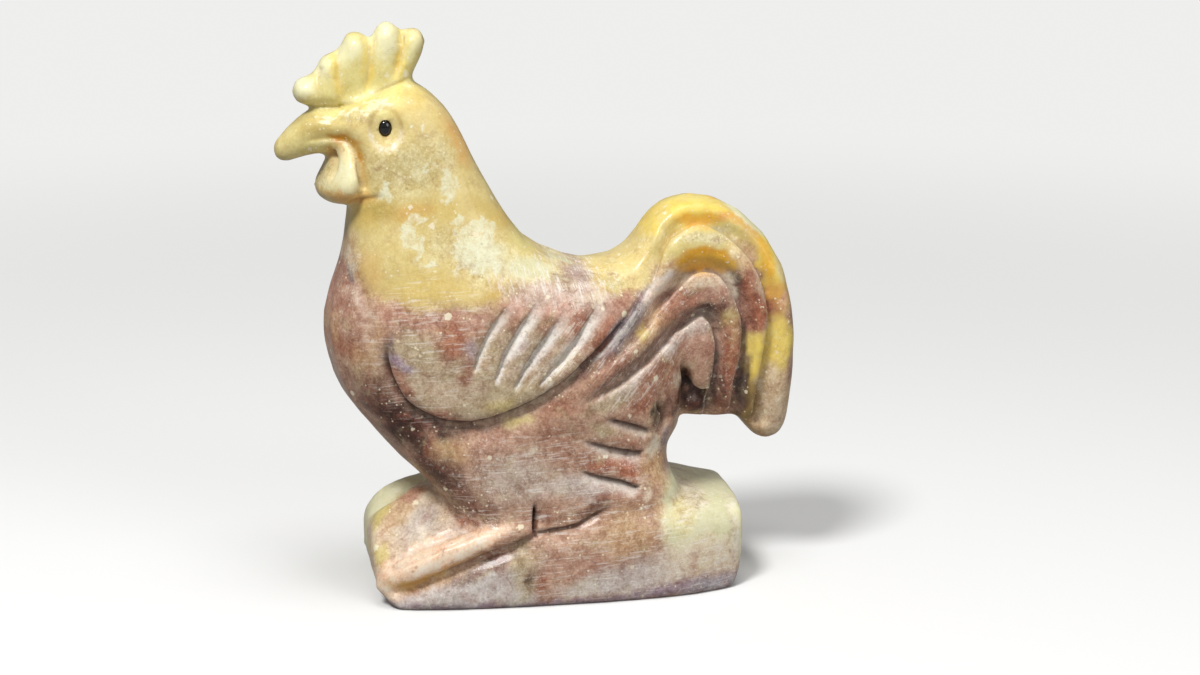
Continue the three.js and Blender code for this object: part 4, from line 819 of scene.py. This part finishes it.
soapstone = {
    "cloud": 2.6 * mm,  # sizes of the patterns
    "drift": 1.7 * mm,
    "mottle": 0.8 * mm,
    "grain": 0.2 * mm,
    "vein": 6.5 * mm,
    "veinGap": 4.0 * mm,
    "flake": 0.5 * mm,
    "crowd": 4.5 * mm,
    "powder": 0.42 * mm,
    "scratch": (380.0, 450.0, 5400.0),  # fineness along, through and across a scratch
    "crystals": ((0.34 * mm, 0.3, 0.4), (0.62 * mm, 0.16, 1.7), (1.1 * mm, 0.07, 2.9)),
    "chips": (0.42 * mm, 0.75, 5.3),  # like the crystals, cell, share of cells filled, seed
    "flecks": (0.5 * mm, 0.1, 4.2),
    "shine": 0.36,  # roughness of the rubbed faces
    "dull": 0.62,  # roughness in the cuts
    "glow": 0.14,  # light that soaks in
    "glowDepth": 0.9 * mm,
    "glowColour": (1.0, 0.78, 0.45),
    "relief": 0.044 * mm,
    "polish": 0.26,  # strength of the waxed layer
    "dustTint": colour(240, 234, 224),
    "frostTint": colour(240, 241, 214),
    "speckTint": colour(246, 236, 206),
    # colours of the painted shade in cuts and hollows: brown in the mottled stone, amber in the clear stone
    "creaseShadeTint": colour(88, 50, 30),
    "amberShadeTint": colour(206, 168, 84),
    "redTint": colour(150, 92, 74),
    "oliveTint": colour(190, 182, 140),
    "veinTint": colour(112, 72, 58),
}


def grey(b, value, low, high):
    level = b.ramp(value, 0.25, 0.75, low, high)
    return b.node("CombineColor", {0: level, 1: level, 2: level}).outputs[0]


# Irregular grains: each cell's dot has its own size, and most cells have none.
def specksOf(b, place, cell, share, seed):
    bent = b.turned(place, (seed, seed * 0.7, seed * 1.3))
    wander = b.node("TexNoise", {"Vector": bent, "Scale": 5.0 / cell, "Detail": 2.0})
    pushed = b.node("VectorMath", {0: wander.outputs["Color"], 1: (0.35 * cell,) * 3}, operation="MULTIPLY")
    moved = b.node("VectorMath", {0: bent, 1: pushed.outputs[0]}, operation="ADD")
    cells = b.node("TexVoronoi", {"Vector": moved.outputs[0], "Scale": 1.0 / cell, "Randomness": 1.0})
    lucky = b.node("SeparateColor", {"Color": cells.outputs["Color"]})
    size = b.ramp(lucky.outputs[1], 0.0, 1.0, 0.1, 0.34)
    near = b.times(b.less(size, cells.outputs["Distance"]), 12.0, clamp=True)
    return b.times(near, b.ramp(lucky.outputs[0], 1.0 - share, 1.02 - share))


def makeSoapstone():
    s = soapstone
    b = Board("marbledSoapstone")
    place = b.node("TexCoord").outputs["Object"]
    tint = b.attribute("tint", "Color")

    clear = b.attribute("clear")
    busy = b.ramp(clear, 0.0, 1.0, 1.0, 0.34)
    cloud = b.noise(place, s["cloud"], 5.0, 0.62, 0.6)
    mottle = b.noise(place, s["mottle"], 5.0, 0.68, 0.3)
    grain = b.noise(place, s["grain"], 4.0, 0.75)
    drift = b.noise(b.turned(place, (0.6, 0.2, 0.9)), s["drift"], 5.0, 0.62, 0.8)

    # Clouds of redder and of greener stone, then light and dark at three sizes.
    reddish = b.times(b.ramp(drift, 0.5, 0.7, 0.0, 0.34), busy)
    greenish = b.times(b.ramp(drift, 0.48, 0.32, 0.0, 0.26), busy)
    stained = b.mix(reddish, tint, s["redTint"])
    stained = b.mix(greenish, stained, s["oliveTint"])
    clouds = b.mix(b.times(busy, 0.75), stained, grey(b, cloud, 0.3, 0.72), "SOFT_LIGHT")
    clouds = b.mix(b.times(busy, 0.8), clouds, grey(b, mottle, 0.2, 0.82), "SOFT_LIGHT")
    clouds = b.mix(b.times(busy, 0.6), clouds, grey(b, grain, 0.16, 0.88), "SOFT_LIGHT")

    # Thin veins where a warped noise passes through its middle value.
    ridge = b.math("ABSOLUTE", b.less(b.noise(place, s["vein"], 6.0, 0.62, 1.4), 0.5))
    vein = b.times(b.ramp(ridge, 0.012, 0.002), b.ramp(b.noise(place, s["veinGap"]), 0.5, 0.66))
    veined = b.mix(b.times(b.times(vein, busy), 0.45), clouds, s["veinTint"])

    # Pale crust on the neck.
    flakes = b.noise(place, s["flake"], 5.0, 0.7, 0.4)
    edge = b.plus(b.attribute("frost"), b.times(b.less(flakes, 0.5), 2.0))
    frost = b.times(b.ramp(edge, 0.25, 0.95), b.ramp(mottle, 0.35, 0.6, 0.5, 1.0))
    frost = b.times(frost, b.ramp(grain, 0.3, 0.6, 0.6, 1.0))
    frosted = b.mix(b.times(frost, 0.7), veined, s["frostTint"])

    # Pale crystals in three sizes, thicker in some places than in others.
    crowd = b.ramp(b.noise(place, s["crowd"], 3.0), 0.42, 0.62, 0.15, 1.0)
    fine, middling, coarse = [specksOf(b, place, *kind) for kind in s["crystals"]]
    speck = b.times(b.larger(fine, middling), crowd)
    speck = b.larger(speck, coarse)
    chips = b.times(b.attribute("rim"), 5.0, clamp=True)
    chips = b.times(chips, specksOf(b, place, *s["chips"]))
    speck = b.larger(speck, chips)
    specks = b.mix(b.times(speck, 0.82), frosted, s["speckTint"])
    fleck = b.times(specksOf(b, place, *s["flecks"]), b.times(busy, 0.3))
    specks = b.mix(fleck, specks, s["veinTint"])

    # The file's fine scratches.
    broken = b.ramp(mottle, 0.36, 0.54)
    sideways = b.less(b.attribute("along"), b.attribute("upward"), clamp=True)
    upwards = b.times(b.attribute("upward"), 1.6)
    lines = 0.0
    for share, turn in ((sideways, 3), (upwards, 100), (b.attribute("slant"), 49)):
        level = b.turned(place, (0.0, math.radians(turn), 0.0))
        streaks = b.noise(b.stretched(level, s["scratch"]), 1.0, 3.0, 0.7)
        lines = b.larger(lines, b.times(b.ramp(streaks, 0.51, 0.65), share))
    lines = b.times(lines, broken)
    scratched = b.mix(b.times(lines, 0.48), specks, s["dustTint"])

    # White dust in the cuts and on worn rims, with the painted highlight on the eye ring's lower edge,
    # broken up by the grain.
    torn = b.ramp(b.plus(mottle, b.times(grain, 0.7)), 0.55, 0.95, 0.35, 1.0)
    dustAmount = b.larger(b.attribute("dust"), b.times(b.attribute("rim"), 0.7))
    dust = b.times(b.times(dustAmount, torn), 0.95)
    clinging = b.plus(b.times(b.attribute("powder"), 0.5), 0.06)
    powder = b.times(b.ramp(b.noise(place, s["powder"], 5.0, 0.78, 0.6), 0.54, 0.68), clinging)
    dust = b.larger(dust, powder)
    worn = b.times(b.ramp(b.attribute("bulge"), 0.02, 0.06), b.times(torn, 0.22))
    dusted = b.mix(b.larger(dust, worn), scratched, s["dustTint"])

    # Painted shade in the hollows and along the cuts, brown in the mottled stone and amber in the clear
    # stone.
    hollowShade = b.ramp(b.attribute("bulge"), -0.02, -0.11)
    dirt = b.larger(b.times(hollowShade, 0.5), b.times(b.attribute("dirt"), 0.85))
    dirt = b.times(dirt, b.ramp(grain, 0.2, 0.6, 0.75, 1.0))
    shadeColour = b.mix(clear, s["creaseShadeTint"], s["amberShadeTint"])
    finished = b.mix(dirt, dusted, b.mix(1.0, dusted, shadeColour, "MULTIPLY"))

    # Gloss and relief.
    patchy = b.plus(mottle, b.times(grain, 0.5))
    rough = b.ramp(patchy, 0.5, 1.0, s["shine"] - 0.06, s["shine"] + 0.16)
    dull = b.larger(b.larger(dust, dirt), b.times(frost, 0.6))
    roughness = b.plus(rough, b.times(dull, s["dull"] - s["shine"]), clamp=True)
    height = b.times(grain, 0.6)
    height = b.plus(height, b.times(mottle, 0.8))
    height = b.less(height, b.times(lines, 0.35))
    height = b.plus(height, b.times(b.plus(speck, frost), 0.25))
    bump = b.node("Bump", {"Height": height, "Strength": 0.8, "Distance": s["relief"]})

    waxed = b.times(b.less(1.0, b.larger(dull, lines), clamp=True), s["polish"])
    shader = b.node(
        "BsdfPrincipled",
        {
            "Base Color": finished,
            "Roughness": roughness,
            "Normal": bump.outputs["Normal"],
            "Subsurface Weight": s["glow"],
            "Subsurface Radius": s["glowColour"],
            "Subsurface Scale": s["glowDepth"],
            "IOR": 1.5,
            "Specular IOR Level": 0.3,
            "Coat Weight": waxed,
            "Coat Roughness": 0.15,
        },
    )
    return b.finish(shader.outputs["BSDF"])


def makeBeadBlack():
    b = Board("blackBead")
    values = {"Base Color": colour(20, 18, 18), "Roughness": 0.12, "IOR": 1.5}
    shader = b.node("BsdfPrincipled", {**values, "Coat Weight": 0.5, "Coat Roughness": 0.05})
    return b.finish(shader.outputs["BSDF"])


skin = makeSkin()
skin.data.materials.append(makeSoapstone())
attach(skin, "root")
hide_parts("stone_carving")
print("stone done")

beadBlack = makeBeadBlack()
for node, side in (("eye_inlay_left", -1), ("eye_inlay_right", 1)):
    bead = makeBead(node, side)
    bead.data.materials.append(beadBlack)
    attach(bead, "root")
    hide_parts(node)
print("beads done")


# The studio: pale floor, soft lamps and the camera.

studio = {
    "viewFrom": (-10.0, 14.0, 0.230),  # turn and rise in degrees, distance
    "viewTarget": (logMiddle * mm + 0.006, 0.0, 0.0216),
    "lens": 78.0,
    "lampTarget": (0.0, 0.0, 0.025),
    "lamps": {  # turn, rise, distance, size, power
        "key": (-38.0, 54.0, 0.42, 0.11, 1.36),
        "top": (25.0, 80.0, 0.42, 0.2, 0.54),
        "fill": (36.0, 22.0, 0.55, 0.3, 0.66),
    },
    "floorTint": (0.86, 0.86, 0.85, 1.0),
    "bounceTint": (0.3, 0.3, 0.3, 1.0),  # the floor as the stone's underside sees it
    "glowReach": (0.05, 0.25),  # from here to there the floor fades into the pale backdrop
    "skyStrength": 0.24,
}


def makeFloor():
    bm = bmesh.new()
    bmesh.ops.create_grid(bm, x_segments=1, y_segments=1, size=3.0)
    mesh = bpy.data.meshes.new("floor")
    bm.to_mesh(mesh)
    bm.free()
    floor = newObject("floor", mesh)
    b = Board("paleFloor")
    seen = b.node("LightPath")
    direct = b.larger(seen.outputs["Is Camera Ray"], seen.outputs["Is Transmission Ray"])
    shown = b.mix(direct, studio["bounceTint"], studio["floorTint"])
    shader = b.node("BsdfPrincipled", {"Base Color": shown, "Roughness": 0.9, "Specular IOR Level": 0.1})
    glow = b.node("Emission", {"Color": studio["floorTint"], "Strength": 1.0})
    far = b.node("VectorMath", {0: b.node("TexCoord").outputs["Object"]}, operation="LENGTH")
    share = b.times(b.ramp(far.outputs["Value"], *studio["glowReach"]), direct)
    blend = b.node("MixShader", {0: share, 1: shader.outputs["BSDF"], 2: glow.outputs["Emission"]})
    mesh.materials.append(b.finish(blend.outputs["Shader"]))


# Places a lamp or camera round a target and turns it to face it. A turn of 0 is straight ahead.
def aimed(name, data, target, turn, rise, distance):
    a, e = math.radians(turn), math.radians(rise)
    away = Vector((math.sin(a) * math.cos(e), -math.cos(a) * math.cos(e), math.sin(e)))
    thing = newObject(name, data)
    thing.location = Vector(target) + away * distance
    thing.rotation_euler = (Vector(target) - thing.location).to_track_quat("-Z", "Y").to_euler()
    return thing


def makeLamp(name, turn, rise, distance, size, power):
    lamp = bpy.data.lights.new(name, "AREA")
    lamp.shape = "DISK"
    lamp.size = size
    lamp.energy = power
    aimed(name, lamp, studio["lampTarget"], turn, rise, distance)


def makeSky():
    world = bpy.data.worlds.new("studioSky")
    bpy.context.scene.world = world
    world.use_nodes = True
    background = world.node_tree.nodes["Background"]
    background.inputs["Color"].default_value = (1.0, 1.0, 1.0, 1.0)
    background.inputs["Strength"].default_value = studio["skyStrength"]


def makeCamera():
    lens = bpy.data.cameras.new("camera")
    lens.lens = studio["lens"]
    lens.sensor_width = 36.0
    lens.clip_start = 0.01
    bpy.context.scene.camera = aimed("camera", lens, studio["viewTarget"], *studio["viewFrom"])


makeFloor()
for lampName, values in studio["lamps"].items():
    makeLamp(lampName, *values)
makeSky()
makeCamera()
bpy.context.scene.view_settings.view_transform = "Standard"
print("studio done")
